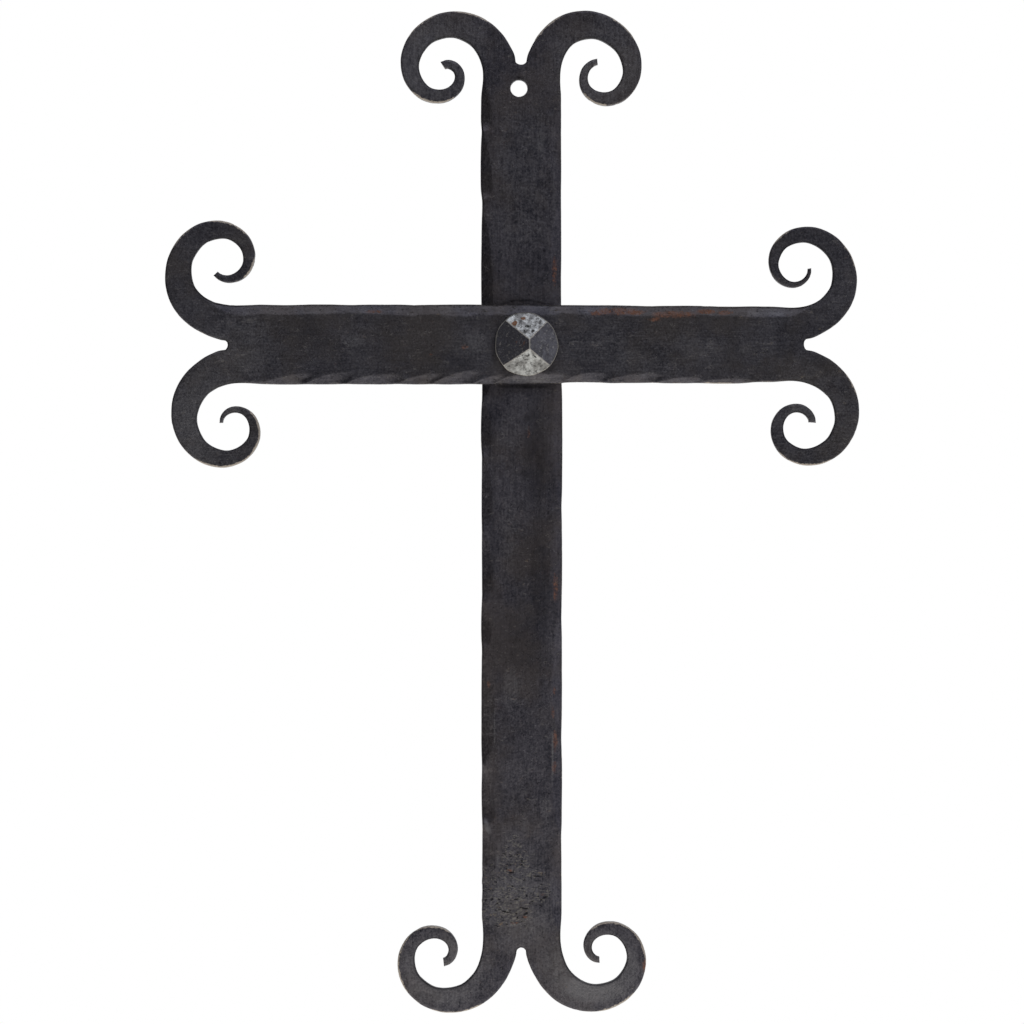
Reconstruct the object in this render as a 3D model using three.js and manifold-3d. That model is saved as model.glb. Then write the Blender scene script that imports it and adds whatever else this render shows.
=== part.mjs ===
// A wrought iron cross, made to hang on a wall or to stand on a grave. Two flat bars lie one on
// the other. Both ends of each bar are split, and the halves are drawn out and rolled outwards into
// scrolls. A rivet with a hammered, four-sided head holds the bars together where they cross.
//
// Millimetres. +X is to the right seen from the front, +Z is up, and the front faces -Y.
// The origin is the centre of the hanging hole, on the back face of the upright.

import * as THREE from 'three';
import Module from 'manifold-3d';
import { mergeVertices } from 'three/addons/utils/BufferGeometryUtils.js';

const wasm = await Module();
wasm.setup();

// Flat bar
const UPRIGHT_WIDTH = 31.75;
const UPRIGHT_THICKNESS = 6.35;
const CROSSBAR_THICKNESS = 6.35;
const CROSSBAR_LEFT_WIDTH = 31.5;
const CROSSBAR_MIDDLE_WIDTH = 31.5;
const CROSSBAR_RIGHT_WIDTH = 30;

// Where the bars cross, bend and are pierced
const HOLE_TO_CROSSBAR = 102.75;
const HOLE_DIAMETER = 6.6;
const HOLE_BELOW_SPLIT = 9.5;
const HOLE_LEFT_OF_MIDDLE = 1;
const FOOT_ARM = 229;
const LEFT_ARM = 105;
const RIGHT_ARM = 100.5;
const SPLIT_LEAD = 12.5;
const SPLIT_ROUND = 1.8;

// Hammered bevel along the front edges of the bars, and the lightly broken edge of the scrolls
const BEVEL_WIDTH = 4.8;
const BEVEL_DEPTH = 1.9;
const BLOW_LENGTH = 24;
const SCALLOP = 1.6;
const EDGE_BREAK = 0.8;
const BREAK_SHARE_OF_LIMB = 0.15;

// Rivet
const SHANK_DIAMETER = 8;
const TAIL_DIAMETER = 13;
const TAIL_DEPTH = 2.6;
const HEAD_DIAMETER = 25.4;
const HEAD_HEIGHT = 6.5;
const HEAD_RIM = 1.3;
const RIDGE_LENGTH = 4.3;
const RIDGE_RIGHT = 1.3;
const RIVET_RIGHT_OF_MIDDLE = 1.9;

// Fit and fineness
const CLEARANCE = 0.3;
const LIMB_STEPS = 40;
const EDGE_STEP = 4.6;
const ROUND_SIDES = 32;
const WELD = 1e-4;

// The pattern scroll: its length along the middle of the limb, the widths half way and at the tip,
// and the bend radii at five stations, equally spaced from the bar to the tip.
const PATTERN = {
  length: 107,
  waist: 9,
  tip: 2.5,
  shoulder: 40,
  throat: 18.5,
  cheek: 17,
  curl: 11,
  eye: 5,
};

// Each scroll is rolled by hand, and differs a little from the pattern.
const TOP_LEFT = { ...PATTERN, tip: 3.5, shoulder: 34, eye: 3.5 };
const TOP_RIGHT = { ...PATTERN, waist: 9.5, throat: 16, cheek: 19, curl: 10, eye: 6 };
const FOOT_LEFT = { ...PATTERN, tip: 3.5, shoulder: 54, throat: 21.5, curl: 11.5, eye: 4 };
const FOOT_RIGHT = { ...PATTERN, length: 108, waist: 10, shoulder: 50, throat: 20.5, curl: 11.5, eye: 4 };
const LEFT_UPPER = { ...PATTERN, waist: 9.5, shoulder: 56, cheek: 18.5, eye: 6.5 };
const LEFT_LOWER = { ...PATTERN, tip: 1.5, shoulder: 36, throat: 20, eye: 4.5 };
const RIGHT_UPPER = { ...PATTERN, waist: 8, tip: 1.5, shoulder: 36, throat: 18, curl: 10.5 };
const RIGHT_LOWER = { ...PATTERN, waist: 8.5, tip: 3, shoulder: 36, throat: 19.5, curl: 10.5 };

const scaleBlack = new THREE.MeshStandardMaterial({ color: 0x37363a, roughness: 0.55, metalness: 0.75 });
const scaleGrey = new THREE.MeshStandardMaterial({ color: 0x434247, roughness: 0.5, metalness: 0.75 });
const burnished = new THREE.MeshStandardMaterial({ color: 0x8d8d89, roughness: 0.35, metalness: 0.9 });

const lerp = THREE.MathUtils.lerp;

// Bend radius at a share of the limb's length, between the five stations.
function bendRadius(scroll, share) {
  const stations = [scroll.shoulder, scroll.throat, scroll.cheek, scroll.curl, scroll.eye];
  const place = share * (stations.length - 1);
  const before = Math.min(Math.floor(place), stations.length - 2);
  return lerp(stations[before], stations[before + 1], place - before);
}

// Width of a limb: half the bar at its root, the waist half way along, and the tip at its end.
function limbWidth(scroll, root, share) {
  const square = 2 * (root + scroll.tip - 2 * scroll.waist);
  const linear = 4 * scroll.waist - 3 * root - scroll.tip;
  return root + linear * share + square * share * share;
}

// Both edges of one limb of a split end, from the bar to the tip. u runs out along the bar from the
// start of the bend, v runs across it to the limb's side. The inner edge carries on the side of the
// bar, and the outer edge carries on the split.
function limbEdges(scroll, root) {
  const fine = 6;
  const leadIn = 0.1;
  const fadeOut = 0.14;
  const inner = [];
  const outer = [];
  let u = 0;
  let v = root / 2;
  let heading = 0;
  for (let step = 0; step <= LIMB_STEPS; step += 1) {
    const share = limbShare(step / LIMB_STEPS);
    const half = limbWidth(scroll, root, share) / 2;
    const across = [-Math.sin(heading) * half, Math.cos(heading) * half];
    const worked = 1 - THREE.MathUtils.smoothstep(share, 0, fadeOut);
    inner.push({ u: u + across[0], v: v + across[1], room: 2 * half, worked });
    outer.push({ u: u - across[0], v: v - across[1], room: 2 * half, worked: 0 });
    if (step === LIMB_STEPS) break;
    const stride = (limbShare((step + 1) / LIMB_STEPS) - share) / fine;
    for (let sub = 0; sub < fine; sub += 1) {
      const middle = share + (sub + 0.5) * stride;
      const bend = THREE.MathUtils.smoothstep(middle, 0, leadIn) / bendRadius(scroll, middle);
      const travel = stride * scroll.length;
      heading += (bend * travel) / 2;
      u += Math.cos(heading) * travel;
      v += Math.sin(heading) * travel;
      heading += (bend * travel) / 2;
    }
  }
  return { inner, outer };
}

// The steps are closer together towards the tip, where the bend is tighter.
function limbShare(t) {
  const crowding = 0.3;
  return t * (1 + crowding * (1 - t));
}

// The outer edge from the round bottom of the split on.
function fromSplit(edge) {
  const clear = edge.findIndex((point) => point.u > SPLIT_LEAD + SPLIT_ROUND);
  return edge.slice(clear);
}

// A split end: up one scroll, back down to the split, and round the other scroll.
function splitEnd(root, plus, minus) {
  const upper = limbEdges(plus, root);
  const lower = limbEdges(minus, root);
  for (const point of [...lower.inner, ...lower.outer]) point.v = -point.v;
  const upperOuter = fromSplit(upper.outer);
  const lowerOuter = fromSplit(lower.outer);
  const bottom = [];
  const turns = 6;
  for (let turn = 1; turn < turns; turn += 1) {
    const angle = (Math.PI * turn) / turns;
    const side = Math.cos(angle) > 0 ? upperOuter[0].v : -lowerOuter[0].v;
    const u = SPLIT_LEAD + SPLIT_ROUND * (1 - Math.sin(angle));
    bottom.push({ u, v: side * Math.cos(angle), room: 2 * root, worked: 0 });
  }
  return [...upper.inner, ...upperOuter.reverse(), ...bottom, ...lowerOuter, ...lower.inner.reverse()];
}

// The points between two ends along one side of the bar, with the bar's own width in between.
function straightSide(bar, side) {
  const points = [];
  const count = Math.round((bar.nearArm + bar.farArm) / EDGE_STEP);
  for (let step = 1; step < count; step += 1) {
    const x = lerp(-bar.nearArm, bar.farArm, step / count);
    const half = x < 0
      ? lerp(bar.middleWidth, bar.nearWidth, -x / bar.nearArm) / 2
      : lerp(bar.middleWidth, bar.farWidth, x / bar.farArm) / 2;
    points.push({ x, z: side * half, room: 2 * half, worked: 1 });
  }
  return points;
}

// The outline of a whole bar in its own frame: x along the bar from the crossing, z across it.
function barOutline(bar) {
  const near = splitEnd(bar.nearWidth / 2, bar.nearPlus, bar.nearMinus)
    .map(({ u, v, room, worked }) => ({ x: -bar.nearArm - u, z: v, room, worked }));
  const far = splitEnd(bar.farWidth / 2, bar.farPlus, bar.farMinus)
    .map(({ u, v, room, worked }) => ({ x: bar.farArm + u, z: v, room, worked }));
  return [...far, ...straightSide(bar, -1).reverse(), ...near.reverse(), ...straightSide(bar, 1)];
}

// Width of the bevel at a place along the outline: overlapping blows leave a scalloped border, and
// a scroll only has its edge broken, less where it is narrow.
function bevelWidth(travelled, { room, worked }) {
  const blow = Math.abs(Math.sin((Math.PI * travelled) / BLOW_LENGTH));
  const broken = Math.min(EDGE_BREAK, BREAK_SHARE_OF_LIMB * room);
  return lerp(broken, BEVEL_WIDTH - SCALLOP * (1 - blow), worked);
}

// A flat plate with the given outline, its back at y = 0 and its front edges hammered or broken.
function forgedPlate(outline, thickness) {
  const count = outline.length;
  const sharpest = 0.6;
  const back = [];
  const edge = [];
  const face = [];
  let travelled = 0;
  for (let index = 0; index < count; index += 1) {
    const here = outline[index];
    const before = outline[(index + count - 1) % count];
    const after = outline[(index + 1) % count];
    const into = new THREE.Vector2(here.x - before.x, here.z - before.z).normalize();
    const out = new THREE.Vector2(after.x - here.x, after.z - here.z).normalize();
    const inward = new THREE.Vector2(into.y + out.y, -into.x - out.x).normalize();
    const mitre = 1 / Math.max(inward.dot(new THREE.Vector2(out.y, -out.x)), sharpest);
    const width = bevelWidth(travelled, here);
    const drop = lerp(EDGE_BREAK / 2, BEVEL_DEPTH, here.worked);
    back.push([here.x, 0, here.z]);
    edge.push([here.x, drop - thickness, here.z]);
    face.push([here.x + inward.x * width * mitre, -thickness, here.z + inward.y * width * mitre]);
    travelled += Math.hypot(after.x - here.x, after.z - here.z);
  }
  const indices = [];
  for (let index = 0; index < count; index += 1) {
    const next = (index + 1) % count;
    for (const [low, high] of [[0, count], [count, 2 * count]]) {
      indices.push(low + index, high + index, high + next, low + index, high + next, low + next);
    }
  }
  for (const [a, b, c] of triangulated(back)) indices.push(a, c, b);
  for (const [a, b, c] of triangulated(face)) indices.push(2 * count + a, 2 * count + b, 2 * count + c);
  const geometry = new THREE.BufferGeometry();
  geometry.setAttribute('position', new THREE.Float32BufferAttribute([...back, ...edge, ...face].flat(), 3));
  geometry.setIndex(indices);
  return geometry;
}

function triangulated(ring) {
  return THREE.ShapeUtils.triangulateShape(ring.map(([x, , z]) => new THREE.Vector2(x, z)), []);
}

function toSolid(geometry) {
  const plain = geometry.index ? geometry.clone() : geometry;
  plain.deleteAttribute('normal');
  plain.deleteAttribute('uv');
  const merged = mergeVertices(plain, WELD);
  return new wasm.Manifold(new wasm.Mesh({
    numProp: 3,
    vertProperties: new Float32Array(merged.attributes.position.array),
    triVerts: new Uint32Array(merged.index.array),
  }));
}

function toGeometry(solid) {
  const { vertProperties, triVerts, numProp } = solid.getMesh();
  const positions = [];
  for (const vertex of triVerts) {
    positions.push(...vertProperties.subarray(vertex * numProp, vertex * numProp + 3));
  }
  const geometry = new THREE.BufferGeometry();
  geometry.setAttribute('position', new THREE.Float32BufferAttribute(positions, 3));
  geometry.computeVertexNormals();
  return geometry;
}

// A round pin or hole along Y, through everything between two depths.
function roundThrough(radius, from, to) {
  const cylinder = new THREE.CylinderGeometry(radius, radius, to - from, ROUND_SIDES);
  return toSolid(cylinder.translate(0, (from + to) / 2, 0));
}

// The shank of the rivet with its countersunk tail, flush with the back. A clearance makes it the
// hole that the rivet passes through.
function rivetStem(clearance, length) {
  const shank = SHANK_DIAMETER / 2 + clearance;
  const tail = TAIL_DIAMETER / 2 + clearance;
  const profile = [[0, -clearance], [tail, -clearance], [tail, 0], [shank, TAIL_DEPTH], [shank, length], [0, length]]
    .map(([radius, height]) => new THREE.Vector2(radius, height));
  const stem = new THREE.LatheGeometry(clearance ? profile : profile.toSpliced(1, 1), ROUND_SIDES);
  return toSolid(stem.rotateX(Math.PI));
}

// The head: a round blank hammered down on four sides, which leaves a short upright ridge.
function rivetHead() {
  const radius = HEAD_DIAMETER / 2;
  const unevenness = 0.012;
  const outline = new THREE.Shape();
  for (let side = 0; side < ROUND_SIDES; side += 1) {
    const angle = (2 * Math.PI * side) / ROUND_SIDES;
    const uneven = 1 + unevenness * (Math.cos(2 * angle + 1.9) + Math.cos(3 * angle + 0.4));
    const point = [radius * uneven * Math.cos(angle), radius * uneven * Math.sin(angle)];
    if (side === 0) outline.moveTo(...point);
    else outline.lineTo(...point);
  }
  const blank = new THREE.ExtrudeGeometry(outline, { depth: HEAD_HEIGHT, bevelEnabled: false });
  let head = toSolid(blank.rotateX(Math.PI / 2));
  const facets = [
    { turn: 0, reach: radius - RIDGE_RIGHT, start: RIDGE_RIGHT },
    { turn: 90, reach: radius - RIDGE_LENGTH / 2, start: RIDGE_LENGTH / 2 },
    { turn: 180, reach: radius + RIDGE_RIGHT, start: -RIDGE_RIGHT },
    { turn: 270, reach: radius - RIDGE_LENGTH / 2, start: RIDGE_LENGTH / 2 },
  ];
  for (const facet of facets) head = head.subtract(hammered(facet));
  return head;
}

// What one side's hammering takes off the head: everything above a plane that falls from the ridge
// to the rim. The side at turn 0 falls towards +X, the one at 90 degrees towards +Z.
function hammered({ turn, reach, start }) {
  const size = 4 * HEAD_DIAMETER;
  const fall = Math.atan2(HEAD_HEIGHT - HEAD_RIM, reach);
  const block = new THREE.BoxGeometry(size, size, size).translate(0, -size / 2, 0);
  block.rotateZ(fall).translate(start, -HEAD_HEIGHT, 0);
  return toSolid(block.rotateY(-THREE.MathUtils.degToRad(turn)));
}

const crossing = {
  x: HOLE_LEFT_OF_MIDDLE,
  z: -HOLE_TO_CROSSBAR,
};
const crossbarBack = -UPRIGHT_THICKNESS - CLEARANCE;
const crossbarFront = crossbarBack - CROSSBAR_THICKNESS;
const headBack = crossbarFront - CLEARANCE;

const uprightBar = {
  nearArm: FOOT_ARM,
  farArm: HOLE_TO_CROSSBAR + HOLE_BELOW_SPLIT - SPLIT_LEAD,
  nearWidth: UPRIGHT_WIDTH,
  middleWidth: UPRIGHT_WIDTH,
  farWidth: UPRIGHT_WIDTH,
  nearPlus: FOOT_LEFT,
  nearMinus: FOOT_RIGHT,
  farPlus: TOP_LEFT,
  farMinus: TOP_RIGHT,
};
const crossbarBar = {
  nearArm: LEFT_ARM,
  farArm: RIGHT_ARM,
  nearWidth: CROSSBAR_LEFT_WIDTH,
  middleWidth: CROSSBAR_MIDDLE_WIDTH,
  farWidth: CROSSBAR_RIGHT_WIDTH,
  nearPlus: LEFT_UPPER,
  nearMinus: LEFT_LOWER,
  farPlus: RIGHT_UPPER,
  farMinus: RIGHT_LOWER,
};

// The upright: its bar's +x points up and its +z to the left.
function makeUpright() {
  const plate = toSolid(forgedPlate(barOutline(uprightBar), UPRIGHT_THICKNESS));
  const nailHole = roundThrough(HOLE_DIAMETER / 2, -2 * UPRIGHT_THICKNESS, UPRIGHT_THICKNESS)
    .translate([HOLE_TO_CROSSBAR, 0, HOLE_LEFT_OF_MIDDLE]);
  const rivetHole = rivetStem(CLEARANCE, 2 * UPRIGHT_THICKNESS).translate([0, 0, -RIVET_RIGHT_OF_MIDDLE]);
  const mesh = new THREE.Mesh(toGeometry(plate.subtract(nailHole).subtract(rivetHole)), scaleBlack);
  mesh.name = 'upright';
  mesh.position.set(crossing.x, 0, crossing.z);
  mesh.rotation.y = -Math.PI / 2;
  return mesh;
}

// The crossbar lies on the front of the upright.
function makeCrossbar() {
  const plate = toSolid(forgedPlate(barOutline(crossbarBar), CROSSBAR_THICKNESS));
  const rivetHole = roundThrough(SHANK_DIAMETER / 2 + CLEARANCE, -2 * CROSSBAR_THICKNESS, CROSSBAR_THICKNESS)
    .translate([RIVET_RIGHT_OF_MIDDLE, 0, 0]);
  const mesh = new THREE.Mesh(toGeometry(plate.subtract(rivetHole)), scaleGrey);
  mesh.name = 'crossbar';
  mesh.position.set(crossing.x, crossbarBack, crossing.z);
  return mesh;
}

// The rivet passes through both bars. Its head bears on the crossbar, its tail fills the countersink.
function makeRivet() {
  const intoHead = HEAD_RIM / 2;
  const stem = rivetStem(0, -headBack + intoHead);
  const mesh = new THREE.Mesh(toGeometry(rivetHead().translate([0, headBack, 0]).add(stem)), burnished);
  mesh.name = 'rivet';
  mesh.position.set(crossing.x + RIVET_RIGHT_OF_MIDDLE, 0, crossing.z);
  return mesh;
}

const cross = new THREE.Group();
cross.add(makeUpright(), makeCrossbar(), makeRivet());

export default cross;
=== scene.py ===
"""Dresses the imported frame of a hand-forged iron cross.

Each flat bar is rebuilt from the outline of its CAD solid as a fine closed mesh, with the hammered
edges, the drawn-out scrolls, the scale and the rust of the real one. The rivet is rebuilt with its
four hammered facets. Lengths in this file are millimetres until a mesh is written, in metres.
"""

import logging
import math
from collections.abc import Callable, Sequence
from dataclasses import dataclass
from enum import Enum

import bmesh
import bpy
import numpy as np
from mathutils import Matrix, Vector
from mathutils.geometry import delaunay_2d_cdt
from mathutils.kdtree import KDTree


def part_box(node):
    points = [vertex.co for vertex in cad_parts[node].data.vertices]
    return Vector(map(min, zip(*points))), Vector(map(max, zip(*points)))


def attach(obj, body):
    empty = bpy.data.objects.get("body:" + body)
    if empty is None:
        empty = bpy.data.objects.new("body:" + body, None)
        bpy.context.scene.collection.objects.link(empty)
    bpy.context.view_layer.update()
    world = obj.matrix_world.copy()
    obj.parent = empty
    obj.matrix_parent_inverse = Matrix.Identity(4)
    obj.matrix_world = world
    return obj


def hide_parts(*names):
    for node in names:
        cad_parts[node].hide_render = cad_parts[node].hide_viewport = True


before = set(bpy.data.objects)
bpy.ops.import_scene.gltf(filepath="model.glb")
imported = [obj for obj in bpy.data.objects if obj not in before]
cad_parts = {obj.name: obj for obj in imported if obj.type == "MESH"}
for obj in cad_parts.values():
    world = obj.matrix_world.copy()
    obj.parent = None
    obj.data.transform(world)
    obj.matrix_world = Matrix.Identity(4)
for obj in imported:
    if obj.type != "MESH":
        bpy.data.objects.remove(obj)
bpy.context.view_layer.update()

METRES = 0.001
SEED = 7

log = logging.getLogger("cross")


class Mark(Enum):
    """What use and weather have left on the iron, and some painted shade, shadow and sheen, each
    kept as an attribute of the mesh.

    WEAR is bare iron on an edge, RUST is rust, the scuff mark places rubbed paler and places of
    painted sheen, the soot mark places stained darker and places of painted shade and shadow, and
    CRUST the thick cracked coat above the foot.
    """

    WEAR = "wear"
    RUST = "rust"
    SCUFF_AND_SHEEN = "scuff_and_sheen"
    SOOT_AND_SHADE = "soot_and_shade"
    CRUST = "crust"


class Side(Enum):
    """Which long edge of a bar, by the sign of the direction across it."""

    PLUS = 1
    MINUS = -1


@dataclass(frozen=True)
class Blow:
    """One hammer blow on a bar's long edge: a slanting, lens-shaped facet.

    start and end are places along the bar, width is its reach in from the edge, and depth is how
    much it takes off the corner. lean moves its deepest place towards the end, and shear carries its
    sides on towards the end as they run in from the edge, as where blows overlap like scales. swell
    is how far its middle pushes the edge outwards.
    """

    side: Side
    start: float
    end: float
    width: float
    depth: float
    lean: float = 0.0
    shear: float = 0.0
    swell: float = 0.25

    def crown(self, place: np.ndarray, inset: np.ndarray) -> np.ndarray:
        """How full the blow is: 1 where it is deepest, and 0 or less past its ends.

        Args:
            place: Places along the bar.
            inset: Distances in from the edge.

        Returns:
            One share for each place.
        """
        fullness = 2.6
        length = abs(self.end - self.start)
        run = (place - self.start) * math.copysign(1.0, self.end - self.start) - self.shear * inset
        t = 2.0 * run / length - 1.0
        before = (self.lean - t) / (1.0 + self.lean)
        after = (t - self.lean) / (1.0 - self.lean)
        away = np.where(t < self.lean, before, after)
        return np.maximum(1.0 - away**fullness, -1.0)


@dataclass(frozen=True)
class Bevel:
    """A bevel that runs on under the blows, from start to end along one edge of a bar."""

    side: Side
    start: float
    end: float
    width: float
    depth: float


@dataclass(frozen=True)
class Spot:
    """A patch of one mark, an ellipse round x, z that fades towards its rim.

    half_x and half_z are half its width and height, and turn is its slant in degrees.
    """

    mark: Mark
    x: float
    z: float
    half_x: float
    half_z: float
    strength: float = 1.0
    turn: float = 0.0

    def spread(self, plan: np.ndarray) -> np.ndarray:
        """Strength of the patch at each plan point.

        Args:
            plan: Points as rows of x and z.

        Returns:
            One strength for each point, from 0 to the patch's own strength.
        """
        full_within = 0.35
        angle = math.radians(self.turn)
        away = plan - (self.x, self.z)
        along = away[:, 0] * math.cos(angle) + away[:, 1] * math.sin(angle)
        across = away[:, 1] * math.cos(angle) - away[:, 0] * math.sin(angle)
        reach = np.hypot(along / self.half_x, across / self.half_z)
        return self.strength * smoothstep(1.0, full_within, reach)


@dataclass(frozen=True)
class Bore:
    """A round hole through a bar, wider at the back where a rivet's tail is countersunk."""

    x: float
    z: float
    front_radius: float
    back_radius: float


def smoothstep(low: float, high: float, value: np.ndarray) -> np.ndarray:
    """Smooth rise from 0 at low to 1 at high."""
    t = np.clip((value - low) / (high - low), 0.0, 1.0)
    return t * t * (3.0 - 2.0 * t)


def ripple(plan: np.ndarray, size: float, seed: int) -> np.ndarray:
    """Smooth seeded unevenness with hollows about size across, between about -1 and 1.

    Args:
        plan: Points as rows of x and z.
        size: Distance between two hollows.
        seed: Seed of the waves' directions and phases.

    Returns:
        One value for each point.
    """
    waves = 7
    shortest, longest = 0.7, 1.5
    random = np.random.default_rng(seed)
    angle = random.uniform(0.0, math.tau, waves)
    phase = random.uniform(0.0, math.tau, waves)
    pitch = size * random.uniform(shortest, longest, waves)
    total = np.zeros(len(plan))
    for one in range(waves):
        along = plan[:, 0] * math.cos(angle[one]) + plan[:, 1] * math.sin(angle[one])
        total += np.sin(math.tau * along / pitch[one] + phase[one])
    return total / math.sqrt(2.0 * waves)


def signed_area(ring: np.ndarray) -> float:
    """Area inside a ring, positive where it runs anticlockwise seen from the front."""
    after = np.roll(ring, -1, axis=0)
    return float((ring[:, 0] * after[:, 1] - after[:, 0] * ring[:, 1]).sum() / 2.0)


def back_rings(node: bpy.types.Object) -> list[np.ndarray]:
    """Finds the edges of a CAD bar's flat back.

    Args:
        node: The CAD node of the bar.

    Returns:
        Closed rings of x and z, the outline first, anticlockwise, and then the holes.
    """
    touching = 1e-6
    mesh = bmesh.new()
    mesh.from_mesh(node.data)
    bmesh.ops.remove_doubles(mesh, verts=mesh.verts, dist=touching)
    back = max(vert.co.y for vert in mesh.verts)
    flat = {face for face in mesh.faces if all(back - vert.co.y < touching for vert in face.verts)}
    beside: dict[int, list[int]] = {}
    for edge in mesh.edges:
        if sum(face in flat for face in edge.link_faces) == 1:
            first, second = (vert.index for vert in edge.verts)
            beside.setdefault(first, []).append(second)
            beside.setdefault(second, []).append(first)
    mesh.verts.ensure_lookup_table()
    place = {index: (mesh.verts[index].co.x, mesh.verts[index].co.z) for index in beside}
    mesh.free()
    rings = []
    while beside:
        start = min(beside)
        walk = [start]
        onward = beside[start][0]
        while onward != start:
            walk.append(onward)
            onward = next(one for one in beside[onward] if one != walk[-2])
        for index in walk:
            del beside[index]
        ring = np.array([place[index] for index in walk]) / METRES
        rings.append(ring if signed_area(ring) > 0 else ring[::-1])
    return sorted(rings, key=signed_area, reverse=True)


def smooth_ring(ring: np.ndarray, step: float) -> np.ndarray:
    """Rounds a ring of chords into a smooth line, and keeps its sharp corners.

    Args:
        ring: Closed ring of plan points.
        step: Distance between the new points.

    Returns:
        The finer ring.
    """
    sharpest = math.radians(40.0)
    chord = np.roll(ring, -1, axis=0) - ring
    length = np.linalg.norm(chord, axis=1)[:, None]
    ahead = chord / length
    behind = np.roll(ahead, 1, axis=0)
    before = np.roll(length, 1, axis=0)
    corner = (np.arccos(np.clip((ahead * behind).sum(axis=1), -1.0, 1.0)) > sharpest)[:, None]
    tangent = (behind * length + ahead * before) / (length + before)
    leave = np.where(corner, ahead, tangent)
    arrive = np.roll(np.where(corner, behind, tangent), -1, axis=0)
    following = np.roll(ring, -1, axis=0)
    pieces = []
    for index in range(len(ring)):
        count = max(1, round(float(length[index, 0]) / step))
        t = (np.arange(count) / count)[:, None]
        pieces.append(
            (2 * t**3 - 3 * t**2 + 1) * ring[index]
            + (t**3 - 2 * t**2 + t) * leave[index] * length[index]
            + (3 * t**2 - 2 * t**3) * following[index]
            + (t**3 - t**2) * arrive[index] * length[index]
        )
    return np.concatenate(pieces)


def inward(ring: np.ndarray) -> np.ndarray:
    """Finds which way the iron lies from each point of a ring.

    Args:
        ring: Closed anticlockwise ring of plan points.

    Returns:
        One direction of length 1 for each point.
    """
    along = np.roll(ring, -1, axis=0) - np.roll(ring, 1, axis=0)
    along /= np.linalg.norm(along, axis=1)[:, None]
    return np.column_stack((-along[:, 1], along[:, 0]))


def turning(ring: np.ndarray, reach: int) -> np.ndarray:
    """How a ring turns at each point: over 0 where it bulges, under 0 where it is hollow.

    Args:
        ring: Closed anticlockwise ring of plan points.
        reach: How many points to each side are looked at.

    Returns:
        One value for each point, in square millimetres.
    """
    before = ring - np.roll(ring, reach, axis=0)
    after = np.roll(ring, -reach, axis=0) - ring
    return before[:, 0] * after[:, 1] - before[:, 1] * after[:, 0]


def circle(x: float, z: float, radius: float, count: int) -> np.ndarray:
    """Points of a circle round x, z."""
    angle = np.arange(count) * math.tau / count
    return np.column_stack((x + radius * np.cos(angle), z + radius * np.sin(angle)))


def crest_distance(lines: Sequence[np.ndarray], plan: np.ndarray) -> np.ndarray:
    """Measures how far plan points lie from some lines.

    Args:
        lines: The lines, each as points close together.
        plan: Points as rows of x and z.

    Returns:
        The distance of each point from the nearest line.
    """
    points = np.concatenate(lines)
    tree = KDTree(len(points))
    for index, (x, z) in enumerate(points):
        tree.insert((x, z, 0.0), index)
    tree.balance()
    return np.array([tree.find((x, z, 0.0))[2] for x, z in plan])


class Rim:
    """The edge of a flat form, which tells how far in from it a point lies."""

    def __init__(self, ring: np.ndarray) -> None:
        """Keeps a ring.

        Args:
            ring: Closed anticlockwise ring of plan points, close together.
        """
        self.ring = ring
        self.normal = inward(ring)
        self.tree = KDTree(len(ring))
        for index, (x, z) in enumerate(ring):
            self.tree.insert((x, z, 0.0), index)
        self.tree.balance()
        self.worked = np.zeros(len(ring))

    def nearest(self, plan: np.ndarray) -> np.ndarray:
        """Number of the edge's point that is nearest to each plan point."""
        return np.array([self.tree.find((x, z, 0.0))[1] for x, z in plan])

    def inset(self, plan: np.ndarray) -> np.ndarray:
        """Measures how far in from the edge points lie.

        Args:
            plan: Points as rows of x and z.

        Returns:
            One distance for each point, negative outside.
        """
        result = np.empty(len(plan))
        for index, (x, z) in enumerate(plan):
            _, nearest, distance = self.tree.find((x, z, 0.0))
            side = np.dot((x, z) - self.ring[nearest], self.normal[nearest])
            result[index] = distance if side > 0 else -distance
        return result

    def lattice(
        self, spacing: float, margin: float, bores: Sequence[tuple[float, float, float]] = ()
    ) -> np.ndarray:
        """Evenly packed points inside the edge.

        Args:
            spacing: Distance between neighbours.
            margin: Smallest distance from the edge.
            bores: Circles as x, z, radius whose inside is left free.

        Returns:
            Points as rows of x and z.
        """
        low = self.ring.min(axis=0)
        high = self.ring.max(axis=0)
        row_height = spacing * math.sqrt(3.0) / 2.0
        rows = []
        for row in range(int((high[1] - low[1]) / row_height) + 1):
            x = np.arange(low[0] + (row % 2) * spacing / 2.0, high[0], spacing)
            rows.append(np.column_stack((x, np.full(len(x), low[1] + row * row_height))))
        points = np.concatenate(rows)
        points = points[self.inset(points) > margin]
        for x, z, radius in bores:
            points = points[np.hypot(points[:, 0] - x, points[:, 1] - z) > radius + margin]
        return points

    def offset(self, distance: float) -> np.ndarray:
        """Moves the edge's points inwards.

        Args:
            distance: How far they move.

        Returns:
            The moved points, without those that a narrow place crowds out.
        """
        least_share = 0.9
        moved = self.ring + self.normal * distance
        return moved[self.inset(moved) > least_share * distance]


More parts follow.
